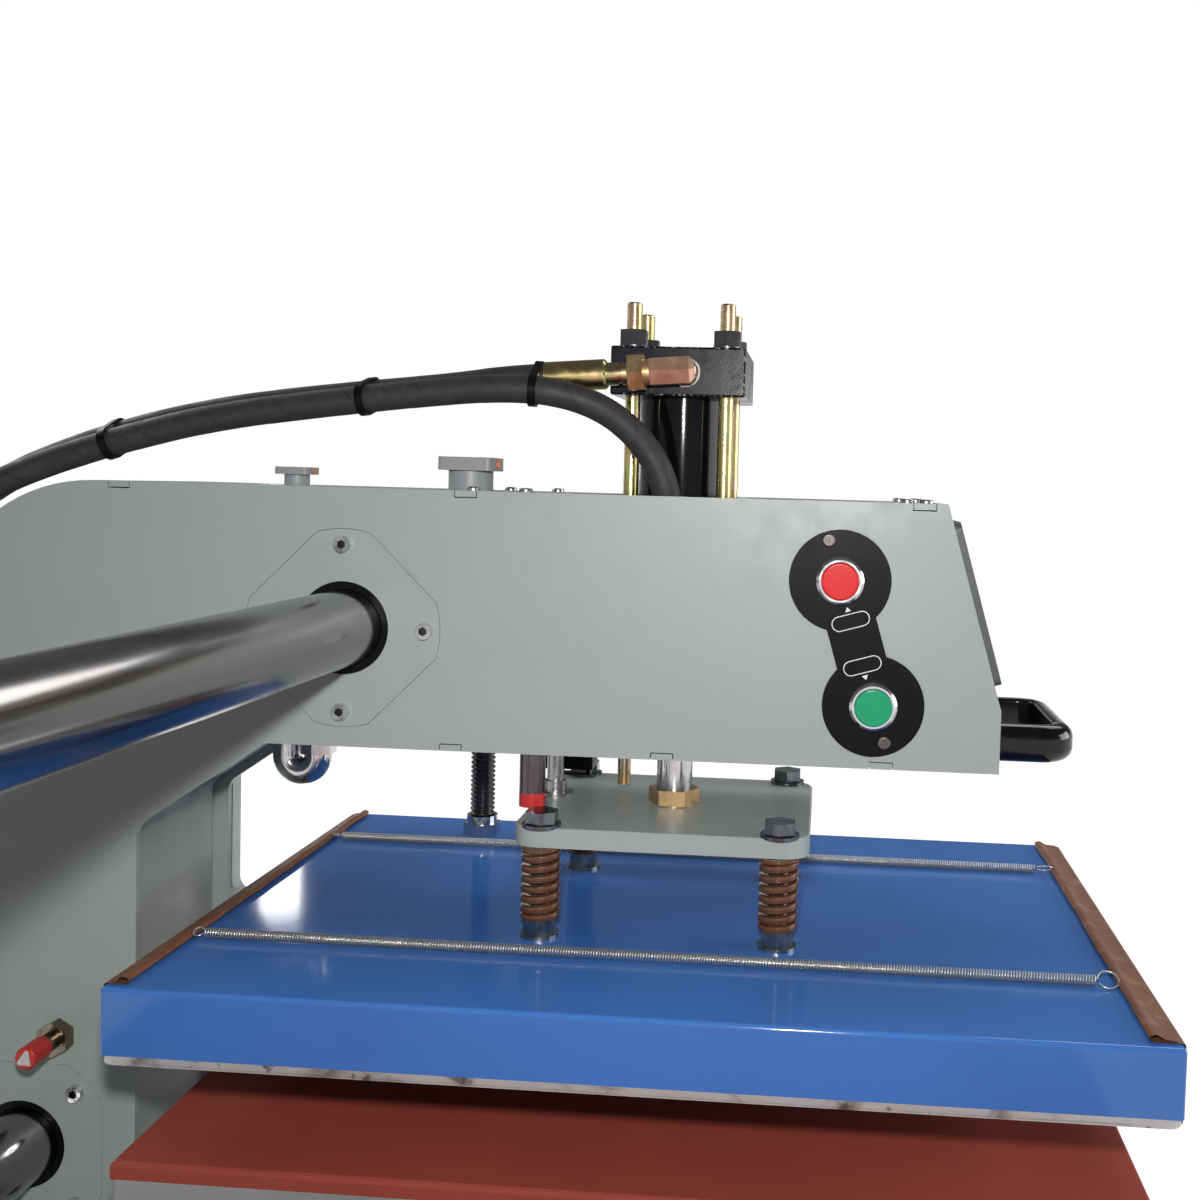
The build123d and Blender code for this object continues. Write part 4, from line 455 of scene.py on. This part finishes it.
def paint_screws():
    """Bright flange screws whose sockets are painted dark as shade, and the duller screws of the button
    plate.
    """
    for y, z, turn in BEARINGS:
        for k in range(4):
            angle = turn + k * pi / 2
            screw = (y + FLANGE_SCREW_RING * cos(angle), z + FLANGE_SCREW_RING * sin(angle))
            # The socket faces get painted shade, a near-black finish inside the recess.
            for finish, reach, depth in ((FINISHES["chrome"], FLANGE_SCREW_R, ARM_FACE),
                                         (SOCKET_SHADE, SOCKET_R, ARM_FACE + 0.05)):
                inside = near(*screw, reach)
                paint_where("head_screws", finish, lambda p: abs(p.x) > depth and inside(p))
    paint_where("head_screws", PLATE_SCREW, lambda p: p.x < BUTTON_PLATE_FACE and p.y < BUTTON_PLATE_END)


def paint_nodes():
    for part in frame["record"]["subparts"]:
        paint(nodes[part["node"]], FINISHES[part["material_slot"]])
    for node in ("cylinder_cap", "cylinder_base"):
        paint(nodes[node], chipped_block(*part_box(node)))
    paint(nodes["heating_plate"], worn_plate())
    paint_tie_rods()
    paint_fittings()
    paint(nodes["stop_post"], DARK_POST)
    paint(nodes["shock_absorbers"], BUMPER_STEEL)
    paint_where("spring_bolts", DARK_BOLT, lambda p: p.z > BOLT_HEADS)
    foot = head_box("stop_post")[0].z
    paint_where("stop_post", RED_SLEEVE, lambda p: p.z < foot + RED_TIP)
    paint_where("terminal_plugs", ORANGE, lambda p: any(start < p.y < end for start, end in PLUG_TIPS))
    paint_where("position_sensors", FINISHES["black_plastic"], lambda p: p.y > SWITCH_SIDE)
    paint_where("position_sensors", FINISHES["zinc"],
                lambda p: p.y < SWITCH_SIDE and SENSOR_NUT[0] < p.z < SENSOR_NUT[1])
    for node in ("bumper_cap_left", "bumper_cap_right"):
        low, high = head_box(node)
        middle = (low + high) / 2
        paint_where(node, FINISHES["steel"], near(middle.y, middle.z, BUMPER_ROD_R))
    paint_screws()
    paint_where("shaft_clamps", FINISHES["zinc"], lambda p: p.z < CLAMP_SCREWS_TOP)


# Small mesh tools

def add_object(name, mesh, finish, body, smooth=True):
    """Object from a mesh, with its finish, which rides on a body."""
    obj = bpy.data.objects.new(name, mesh)
    bpy.context.scene.collection.objects.link(obj)
    mesh.materials.clear()
    mesh.materials.append(finish.material)
    if smooth:
        for face in mesh.polygons:
            face.use_smooth = True
    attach(obj, body)
    return obj


def circle(radius, sides):
    return [(radius * cos(tau * k / sides), radius * sin(tau * k / sides)) for k in range(sides)]


def circle_section(radius, sides):
    outline = circle(radius, sides)
    return lambda i, run: outline


def mesh_data(name, mesh):
    """Data block from a bmesh, which is freed."""
    data = bpy.data.meshes.new(name)
    mesh.to_mesh(data)
    mesh.free()
    return data


def bridge(mesh, rings):
    """Faces between closed rings of equal size."""
    for ring, after in zip(rings, rings[1:]):
        for k in range(len(ring)):
            n = (k + 1) % len(ring)
            mesh.faces.new((ring[k], ring[n], after[n], after[k]))


def tube_mesh(name, points, section):
    """Tube through points; section(i, run) gives the outline round point i, run metres along, in mm."""
    mesh = bmesh.new()
    uv_layer = mesh.loops.layers.uv.new("UVMap")
    rings = []
    run = [0.0]
    for a, b in zip(points, points[1:]):
        run.append(run[-1] + (b - a).length)
    tangents = [(points[min(i + 1, len(points) - 1)] - points[max(i - 1, 0)]).normalized()
                for i in range(len(points))]
    side = tangents[0].orthogonal().normalized()
    for i, (point, tangent) in enumerate(zip(points, tangents)):
        side = (side - tangent * side.dot(tangent)).normalized()
        top = tangent.cross(side)
        outline = section(i, run[i])
        rings.append([mesh.verts.new(point + (side * a + top * b) * MM) for a, b in outline])
    count = len(rings[0])
    for i, (ring, after) in enumerate(zip(rings, rings[1:])):
        for k in range(count):
            n = (k + 1) % count
            face = mesh.faces.new((ring[k], ring[n], after[n], after[k]))
            for loop, (u, v) in zip(face.loops, ((k, i), (k + 1, i), (k + 1, i + 1), (k, i + 1))):
                loop[uv_layer].uv = (u / count, run[v])
    mesh.faces.new(list(reversed(rings[0])))
    mesh.faces.new(rings[-1])
    return mesh_data(name, mesh)


COIL_SIDES = 16
COIL_CORNER = 0.9


def coil_mesh(name, points, out, wide, heights):
    """Wire of rounded rectangular section along a coil; out(i) points away from the coil's axis."""
    mesh = bmesh.new()
    rings = []
    half_w = wide / 2 - COIL_CORNER
    for i, point in enumerate(points):
        away = out(i).normalized()
        soft = min(COIL_CORNER, heights[i] * 0.45)
        half_h = heights[i] / 2 - soft
        ring = []
        for k in range(COIL_SIDES):
            angle = tau * (k + 0.5) / COIL_SIDES
            a = COIL_CORNER * cos(angle) + (half_w if cos(angle) > 0 else -half_w)
            b = soft * sin(angle) + (half_h if sin(angle) > 0 else -half_h)
            ring.append(mesh.verts.new(point + (away * a + Vector((0, 0, b))) * MM))
        rings.append(ring)
    bridge(mesh, rings)
    mesh.faces.new(list(reversed(rings[0])))
    mesh.faces.new(rings[-1])
    bmesh.ops.recalc_face_normals(mesh, faces=mesh.faces)
    return mesh_data(name, mesh)


def joined(name, meshes):
    """One mesh out of several."""
    mesh = bmesh.new()
    for part in meshes:
        mesh.from_mesh(part)
    return mesh_data(name, mesh)


def smooth_route(points):
    """Even points along the quadratic NURBS line that has the given control points."""
    curve = bpy.data.curves.new("route", "CURVE")
    curve.dimensions = "3D"
    spline = curve.splines.new("NURBS")
    spline.points.add(len(points) - 1)
    for target, point in zip(spline.points, points):
        target.co = (*point, 1)
    spline.order_u = 3
    spline.use_endpoint_u = True
    spline.resolution_u = 16
    obj = bpy.data.objects.new("route", curve)
    line = bpy.data.meshes.new_from_object(obj)
    dense = [v.co.copy() for v in line.vertices]
    bpy.data.objects.remove(obj)
    return resampled(dense, 2.5 * MM)


def resampled(points, step):
    """Points a step apart along a line of points, ending at its last one."""
    out = [points[0]]
    carry = 0.0
    for a, b in zip(points, points[1:]):
        length = (b - a).length
        while length > 0 and carry + length >= step:
            a = a + (b - a) * ((step - carry) / length)
            out.append(a)
            length = (b - a).length
            carry = 0.0
        carry += length
    if (points[-1] - out[-1]).length > step * 0.3:
        out.append(points[-1])
    else:
        out[-1] = points[-1]
    return out


# Hoses

HOSE_R = 9
HOSE_STEP = 0.12
HOSE_SIDES = 40
UPPER_HOSE = [
    (-57.6, 83.77, 358.44),
    (-57.6, 107.71, 356.72),
    (-55, 148, 350.8),
    (-52, 190, 346.8),
    (-51, 242, 341),
    (-50.8, 298, 333.2),
    (-50.8, 352, 321),
    (-50.8, 404, 304.5),
    (-50, 452, 284),
    (-46, 493, 254),
    (-37, 521, 214),
    (-27, 533, 177),
    (-20, 536, 139),
    (-20, 536, 103),
]
LOWER_HOSE = [
    (-54, -2, 192.9),
    (-54, -2, 224.9),
    (-54.6, 1.6, 283),
    (-58.6, 14.5, 313),
    (-65.5, 37.5, 335.5),
    (-73, 68, 347.8),
    (-75.2, 108, 350.2),
    (-72.6, 160, 345.6),
    (-70.5, 225, 337.6),
    (-69.7, 296, 327.6),
    (-69.7, 357, 312.2),
    (-69.5, 406, 296.6),
    (-69, 449, 279.4),
    (-67.5, 489, 251),
    (-63.5, 517, 212),
    (-58.5, 531.5, 171),
    (-55, 536, 133),
    (-55, 536, 103),
]


def make_hose(name, node, route):
    """Rubber hose with the shallow spiral step that the curing tape leaves on it."""
    points = smooth_route([at(*p) for p in route])

    def section(i, run):
        out = []
        for k in range(HOSE_SIDES):
            turn = run / (HOSE_WRAP * MM) - k / HOSE_SIDES
            radius = HOSE_R - HOSE_STEP + HOSE_STEP * (turn % 1.0)
            out.append((radius * cos(tau * k / HOSE_SIDES), radius * sin(tau * k / HOSE_SIDES)))
        return out

    obj = add_object(name, tube_mesh(name, points, section), FINISHES["hose_rubber"], "carriage")
    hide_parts(node)


# Springs

BOLT_OFFSET = 76.4
COIL_ACTIVE = 6
COIL_WIDE = 5.2
COIL_HIGH = 4.6
COIL_TIP = 0.25
COIL_STEPS = 40
COIL_START = (0.9, 0.5)


def make_die_springs():
    """Four brown springs of flat wire with ground ends."""
    low, high = head_box("die_springs")
    height = high.z - low.z
    radius = (high.x - low.x - 2 * BOLT_OFFSET) / 2 - COIL_WIDE / 2
    pitch = (height - (1 + 2 * COIL_TIP) * COIL_HIGH) / COIL_ACTIVE
    turns = COIL_ACTIVE + 2
    steps = turns * COIL_STEPS

    def top_of(turn):
        """Upper face of the wire over the spring's foot; the first turn climbs by the wire's own height."""
        closed = min(turn, 1)
        active = min(max(turn - 1, 0), COIL_ACTIVE)
        last = max(turn - 1 - COIL_ACTIVE, 0)
        return (COIL_TIP + closed + last) * COIL_HIGH + active * pitch

    coils = []
    for sx in (-1, 1):
        for sy in (-1, 1):
            axis = at(sx * BOLT_OFFSET, sy * BOLT_OFFSET, low.z)
            points = []
            heights = []
            for i in range(steps + 1):
                turn = turns * i / steps
                top = min(top_of(turn), height)
                bottom = max(top_of(turn) - COIL_HIGH, 0)
                angle = tau * turn + COIL_START[0] * sx + COIL_START[1] * sy
                middle = Vector((radius * cos(angle), radius * sin(angle), (top + bottom) / 2))
                points.append(axis + middle * MM)
                heights.append(top - bottom)
            flat = Vector((1, 1, 0))
            coils.append(coil_mesh("coil", points, lambda i: (points[i] - axis) * flat, COIL_WIDE, heights))
    obj = add_object("spring_coils", joined("spring_coils", coils), FINISHES["spring_brown"], "platen")
    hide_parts("die_springs")
    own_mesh(obj)


# Side and width of the cloth's hems, and where the long springs' turns end
HEMS = ((-1, 20), (1, 15))
COIL_ENDS = (-268, 279)
TENSION_WIRE_R = 0.54
TENSION_PITCH = 1.7
TENSION_STEPS = 12
HOOK_LEAD = 1.2
HOOK_REACH = 1.8
HOOK_SHARE = 0.94
HOOK_STEPS = 32
HOOK_TILT = radians(30)


def make_tension_springs():
    """Two long coil springs over the platen, with a ring at each end that goes through the cloth's hem."""
    low, high = head_box("tension_springs")
    z = (low.z + high.z) / 2
    outer = (high.z - low.z) / 2
    radius = outer - TENSION_WIRE_R
    y0, y1 = COIL_ENDS
    cover_edge = head_box("platen_cover")[1].y
    meshes = []
    for x in (low.x + outer, high.x - outer):
        turns = (y1 - y0) / TENSION_PITCH
        steps = int(turns * TENSION_STEPS)
        points = []
        for i in range(steps + 1):
            share = i / steps
            angle = tau * turns * share
            points.append(at(x + radius * cos(angle), y0 + (y1 - y0) * share, z + radius * sin(angle)))
        meshes.append(tube_mesh("turns", points, circle_section(TENSION_WIRE_R, 6)))
        lean = cos(HOOK_TILT) * (1 if x < 0 else -1)
        for (side, width), end in zip(HEMS, (y0, y1)):
            hem = cover_edge - width
            hook_r = (hem + HOOK_REACH - abs(end) - HOOK_LEAD) / 2
            middle = end + side * (hook_r + HOOK_LEAD)
            ring = [at(x, end - side * 1.5, z - radius * 0.5), at(x, end, z + 0.2)]
            for k in range(1, HOOK_STEPS + 1):
                angle = pi + tau * HOOK_SHARE * k / HOOK_STEPS
                up = hook_r * sin(angle)
                along = middle + side * hook_r * cos(angle)
                ring.append(at(x - lean * up, along, z + 0.6 - up * sin(HOOK_TILT)))
            meshes.append(tube_mesh("ring", ring, circle_section(TENSION_WIRE_R, 8)))
    obj = add_object("long_springs", joined("long_springs", meshes), SPRING_WIRE, "platen")
    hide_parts("tension_springs")


# Cloth and pads

CLOTH_GAP = 0.5
CLOTH_OFF_EDGE = 0.45
CLOTH_HALF_X = 193.5
CLOTH_SIDE = 0.9
CLOTH_COLUMNS = 130
CORNER_CURL = 2.0


def hem_line(edge, width):
    """Section of one folded hem, from the end of its flap round the roll to the platen's side."""
    inner = edge - width
    return [
        (edge - 3.5, 1.7), (edge - 6.5, 1.9), (edge - width * 0.55, 2.6), (inner + 5.6, 4.4),
        (inner + 4.0, 5.0), (inner + 2.2, 4.8), (inner + 0.7, 3.9), (inner + 0.2, 2.8), (inner + 0.6, 1.7),
        (inner + 2.0, 0.8), (inner + 4.2, 0.5), (edge - width * 0.45, 0.55), (edge - 4.5, 0.6),
        (edge - 1.6, 0.6), (edge - 0.4, 0.2), (edge, -1.0),
    ]


def clamped(value):
    return min(max(value, 0), 1)


def make_release_sheet():
    """Coated cloth wrapped round the platen, with a rolled hem on each short top edge."""
    high = head_box("release_sheet")[1]
    edge = head_box("platen_cover")[1].y + CLOTH_OFF_EDGE
    under = head_box("heating_plate")[0].z - CLOTH_GAP
    flat_x = high.x + CLOTH_SIDE
    wall = [(edge, -6), (edge, -14), (edge, -26)]
    wall += [(edge, under + 8), (edge, under + 3), (edge - 0.3, under + 0.8)]
    turn = [(edge - 1.2, under + 0.1), (edge - 4, under), (edge - 9, under)]
    middle = [(y, under) for y in (270, 200, 120, 40)]
    halves = []
    for side, width in HEMS:
        halves.append([(side * y, z) for y, z in hem_line(edge, width) + wall + turn + middle])
    line = halves[0] + halves[1][::-1]
    mesh = bmesh.new()
    grid = []
    for i in range(CLOTH_COLUMNS + 1):
        share = 2 * i / CLOTH_COLUMNS - 1
        row = []
        for y, z in line:
            spread = clamped((abs(edge - abs(y)) - 4) / 12) if z < under + 0.05 else 0
            x = share * (CLOTH_HALF_X + (flat_x - CLOTH_HALF_X) * spread)
            wave = noise.noise(Vector((x * 0.03, y * 0.02, 3.1)))
            crease = noise.noise(Vector((x * 0.12, y * 0.5, 9.7)))
            roll = clamped((z - 0.6) / 2)
            lift = (0.35 * wave + 0.3 * crease - 0.35) * roll
            shift = (1.3 * wave + 0.4 * crease) * roll * (1 if abs(y) < edge - 5 else 0.2)
            curl = CORNER_CURL * spread * clamped((abs(share) - 0.985) / 0.015)
            place = at(x, y + (shift if y > 0 else -shift), min(z + lift + curl, high.z))
            row.append(mesh.verts.new(place))
        grid.append(row)
    for a, b in zip(grid, grid[1:]):
        for k in range(len(line) - 1):
            mesh.faces.new((a[k], a[k + 1], b[k + 1], b[k]))
    obj = add_object("cloth_wrap", mesh_data("cloth_wrap", mesh), FINISHES["ptfe_cloth"], "platen")
    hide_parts("release_sheet")


PAD_ROUND = 2.2
PAD_STEPS = (40, 60)


def make_pads():
    """Silicone pads with soft edges."""
    low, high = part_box("silicone_pads")
    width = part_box("platen_cover")[1].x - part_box("platen_cover")[0].x
    columns, rows = PAD_STEPS
    around = [(i / columns, 0) for i in range(columns)] + [(1, i / rows) for i in range(rows)]
    around += [(1 - i / columns, 1) for i in range(columns)] + [(0, 1 - i / rows) for i in range(rows)]
    for name, x0 in (("pad_left", low.x), ("pad_right", high.x - width)):
        mesh = bmesh.new()
        rings = []
        for share, height in ((0.0, 0.0), (0.0, 0.35), (0.0, 0.7), (0.3, 0.92), (1.0, 1.0)):
            inset = PAD_ROUND * MM * share
            z = low.z + (high.z - low.z) * height
            rings.append([mesh.verts.new((x0 + inset + (width - 2 * inset) * u,
                                          low.y + inset + (high.y - low.y - 2 * inset) * v, z))
                          for u, v in around])
        bridge(mesh, rings)
        mesh.faces.new(rings[-1])
        mesh.faces.new(list(reversed(rings[0])))
        bmesh.ops.recalc_face_normals(mesh, faces=mesh.faces)
        obj = add_object(name, mesh_data(name, mesh), FINISHES["silicone"], "base", smooth=False)
        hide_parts("silicone_pads")


CONDUIT_R = 10
CONDUIT_PITCH = 3.8
CONDUIT_BORE_R = 7.6
CONDUIT_GROOVE_R = 8.5
CONDUIT_SIDES = 48


def make_conduit():
    """Corrugated conduit turned from its rib outline, with its bore open at both ends."""
    low, high = head_box("heater_conduit")
    x, y = (low.x + high.x) / 2, (low.y + high.y) / 2
    outline = [(CONDUIT_BORE_R, low.z)]
    count = int((high.z - low.z) / CONDUIT_PITCH)
    for i in range(count):
        z = low.z + CONDUIT_PITCH * i
        outline += [(CONDUIT_GROOVE_R, z), (CONDUIT_GROOVE_R, z + 0.5), (9.1, z + 0.8), (9.8, z + 1.2),
                    (CONDUIT_R - 0.02, z + 1.6), (CONDUIT_R - 0.02, z + 2.2), (9.8, z + 2.6), (9.1, z + 3.0),
                    (CONDUIT_GROOVE_R, z + 3.3)]
    outline += [(CONDUIT_GROOVE_R, high.z), (CONDUIT_BORE_R, high.z)]
    mesh = bmesh.new()
    rings = [[mesh.verts.new(at(x + dx, y + dy, z)) for dx, dy in circle(r, CONDUIT_SIDES)]
             for r, z in outline]
    bridge(mesh, rings + rings[:1])
    finish = plastic("conduit_plastic", (0.012, 0.012, 0.013), 0.2)
    obj = add_object("corrugated_conduit", mesh_data("corrugated_conduit", mesh), finish, "platen")
    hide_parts("heater_conduit")


# Print on the button plate

RED_POS = (-109.4, 234)
GREEN_POS = (-132.6, 155.3)
PRINT_LIFT = 0.06
LABEL_AWAY = 26.5
LABEL_HALF = 7.4
LABEL_R = 4.6
LABEL_LINE = 0.6
LABEL_POINTS = 40
POINTER_AWAY = 17.2
POINTER_LENGTH = 3.0
POINTER_HALF = 2.0


def line_edges(points, width):
    """Inner and outer edges of a closed flat line of the given width along points in a plane."""
    count = len(points)
    inner, outer = [], []
    for i in range(count):
        direction = (points[(i + 1) % count] - points[i - 1]).normalized()
        across = Vector((direction.y, -direction.x)) * (width / 2)
        inner.append(points[i] - across)
        outer.append(points[i] + across)
    return inner, outer


def make_plate_print():
    """Plain rounded label outlines and pointer triangles between the buttons."""
    x = head_box("button_plate")[0].x - PRINT_LIFT
    mesh = bmesh.new()
    red, green = Vector(RED_POS), Vector(GREEN_POS)
    along = (green - red).normalized()
    across = Vector((-along.y, along.x))
    if across.x > 0:
        across = -across

    def verts(points):
        return [mesh.verts.new(at(x, p.x, p.y)) for p in points]

    for centre, way in ((red, along), (green, -along)):
        points = []
        for k in range(LABEL_POINTS):
            angle = tau * k / LABEL_POINTS
            side = LABEL_HALF if cos(angle) > 0 else -LABEL_HALF
            points.append(centre + way * LABEL_AWAY + across * (side + LABEL_R * cos(angle))
                          + along * (LABEL_R * sin(angle)))
        bridge(mesh, [verts(edge) for edge in line_edges(points, LABEL_LINE)])
        tip = centre + way * POINTER_AWAY
        base = tip + way * POINTER_LENGTH
        mesh.faces.new(verts((tip, base + across * POINTER_HALF, base - across * POINTER_HALF)))
    obj = add_object("plate_print", mesh_data("plate_print", mesh), WHITE_PRINT, "carriage", smooth=False)


PORT_POS = (-5, 364.8)
BEAD_OUT = 0.4
BEAD_RING = 9.2
BEAD_STEPS = 24
BEAD_SIDES = 8


def make_sealant():
    """White sealant squeezed out round the port elbow."""
    x = head_box("cylinder_cap")[0].x - BEAD_OUT
    y, z = PORT_POS
    points = []
    for k in range(BEAD_STEPS + 1):
        angle = pi * (-0.62 + 1.3 * k / BEAD_STEPS)
        reach = BEAD_RING + 0.35 * noise.noise(Vector((k * 0.6, 1.3, 0)))
        points.append(at(x, y - reach * cos(angle), z + reach * sin(angle)))

    def section(i, run):
        out = []
        for k in range(BEAD_SIDES):
            angle = tau * k / BEAD_SIDES
            wide = 0.75 + 0.25 * noise.noise(Vector((i * 0.9, k, 0)))
            high = 0.75 + 0.2 * noise.noise(Vector((i * 0.7, k, 5)))
            out.append((wide * cos(angle), high * sin(angle)))
        return out

    obj = add_object("sealant", tube_mesh("sealant", points, section), SEALANT, "carriage")


# Stage and light

FLOOR_HALF = 14
FLOOR_TONE = 0.4
FLOOR_GLOW = (("From Min", 0.7), ("From Max", 2.2), ("To Min", 0.8), ("To Max", 1.0))


def make_stage():
    """Pale floor that takes the object's shadow and fades to white away from it."""
    mesh = bpy.data.meshes.new("floor")
    corners = [(-FLOOR_HALF, -FLOOR_HALF, 0), (FLOOR_HALF, -FLOOR_HALF, 0), (FLOOR_HALF, FLOOR_HALF, 0),
               (-FLOOR_HALF, FLOOR_HALF, 0)]
    mesh.from_pydata(corners, [], [(0, 1, 2, 3)])
    floor = bpy.data.objects.new("floor", mesh)
    bpy.context.scene.collection.objects.link(floor)
    material = bpy.data.materials.new("pale_floor")
    material.use_nodes = True
    tree = material.node_tree
    tree.nodes.clear()
    link = tree.links.new
    rays = tree.nodes.new("ShaderNodeLightPath")
    seen = tree.nodes.new("ShaderNodeMath")
    seen.operation = "MAXIMUM"
    link(rays.outputs["Is Camera Ray"], seen.inputs[0])
    link(rays.outputs["Is Glossy Ray"], seen.inputs[1])
    diffuse = tree.nodes.new("ShaderNodeBsdfDiffuse")
    diffuse.inputs["Color"].default_value = (FLOOR_TONE, FLOOR_TONE, FLOOR_TONE, 1)
    place = tree.nodes.new("ShaderNodeTexCoord")
    away = tree.nodes.new("ShaderNodeVectorMath")
    away.operation = "LENGTH"
    link(place.outputs["Object"], away.inputs[0])
    fade = tree.nodes.new("ShaderNodeMapRange")
    for socket, value in FLOOR_GLOW:
        fade.inputs[socket].default_value = value
    link(away.outputs["Value"], fade.inputs["Value"])
    glow = tree.nodes.new("ShaderNodeEmission")
    link(fade.outputs["Result"], glow.inputs["Strength"])
    nothing = tree.nodes.new("ShaderNodeEmission")
    nothing.inputs["Strength"].default_value = 0
    pick = tree.nodes.new("ShaderNodeMixShader")
    link(seen.outputs[0], pick.inputs[0])
    link(nothing.outputs[0], pick.inputs[1])
    link(glow.outputs[0], pick.inputs[2])
    total = tree.nodes.new("ShaderNodeAddShader")
    link(diffuse.outputs[0], total.inputs[0])
    link(pick.outputs[0], total.inputs[1])
    out = tree.nodes.new("ShaderNodeOutputMaterial")
    link(total.outputs[0], out.inputs[0])
    mesh.materials.append(material)


def make_world():
    """White for the camera; metal and gloss see a white horizon under a darker ceiling."""
    world = bpy.data.worlds.new("studio")
    bpy.context.scene.world = world
    world.use_nodes = True
    tree = world.node_tree
    tree.nodes.clear()

    def node(kind, **inputs):
        made = tree.nodes.new(kind)
        for key, value in inputs.items():
            made.inputs[key.replace("_", " ")].default_value = value
        return made

    def background(strength):
        made = node("ShaderNodeBackground", Color=(1, 1, 1, 1))
        if isinstance(strength, float):
            made.inputs["Strength"].default_value = strength
        else:
            tree.links.new(strength, made.inputs["Strength"])
        return made.outputs[0]

    def mix(factor, a, b):
        made = node("ShaderNodeMixShader")
        tree.links.new(factor, made.inputs[0])
        tree.links.new(a, made.inputs[1])
        tree.links.new(b, made.inputs[2])
        return made.outputs[0]

    rays = node("ShaderNodeLightPath")
    place = node("ShaderNodeTexCoord")
    split = node("ShaderNodeSeparateXYZ")
    tree.links.new(place.outputs["Generated"], split.inputs[0])
    ceiling = node("ShaderNodeMapRange", From_Min=0.02, From_Max=0.2, To_Min=0.9, To_Max=0.12)
    tree.links.new(split.outputs["Z"], ceiling.inputs["Value"])
    glossy = mix(rays.outputs["Is Glossy Ray"], background(0.1), background(ceiling.outputs[0]))
    through = mix(rays.outputs["Is Transmission Ray"], glossy, background(1.0))
    seen = mix(rays.outputs["Is Camera Ray"], through, background(1.0))
    out = node("ShaderNodeOutputWorld")
    tree.links.new(seen, out.inputs[0])


def area_light(name, place, target, size, power, spread=pi):
    """Rectangular lamp; one with a narrowed spread doesn't show in reflections."""
    data = bpy.data.lights.new(name, "AREA")
    data.shape = "RECTANGLE"
    data.size, data.size_y = size
    data.energy = power
    data.spread = spread
    light = bpy.data.objects.new(name, data)
    light.location = place
    light.rotation_euler = (Vector(target) - Vector(place)).to_track_quat("-Z", "Y").to_euler()
    light.visible_camera = False
    light.visible_glossy = spread == pi
    bpy.context.scene.collection.objects.link(light)


KEY_SIZE = (0.05, 0.05)
SOFT_SIZE = (1.4, 1.0)
LOW_SIZE = (1.3, 0.5)
LOW_HEIGHT = 0.3
LOW_SPREAD = radians(44)
WINDOW_SIZE = (0.06, 0.1)


def make_lights():
    """Small key by the camera, soft lamps all round, and low ones for the cabinet's sides."""
    area_light("key", at(-880, -85, 395), at(0, 60, 60), KEY_SIZE, 6.4)
    area_light("back_left", at(700, 1700, 1300), at(0, 100, 0), SOFT_SIZE, 22)
    area_light("back_right", at(1300, -700, 1700), at(0, 0, 0), SOFT_SIZE, 15)
    area_light("front_right", at(250, -2100, 500), at(250, 0, -250), SOFT_SIZE, 26)
    for name, x in (("low_left", -2.0), ("low_right", 2.0)):
        area_light(name, Vector((x, 0, LOW_HEIGHT)), Vector((0, 0, LOW_HEIGHT)), LOW_SIZE, 0.9, LOW_SPREAD)
    area_light("window", at(1072, 738, 349), at(0, 281, 0), WINDOW_SIZE, 0.16)


make_camera()
paint_nodes()
make_hose("hose_return", "hose_upper", UPPER_HOSE)
make_hose("hose_feed", "hose_lower", LOWER_HOSE)
make_die_springs()
make_tension_springs()
make_release_sheet()
make_pads()
make_conduit()
make_plate_print()
make_sealant()
make_stage()
make_world()
make_lights()

bpy.context.scene.view_settings.view_transform = "Standard"
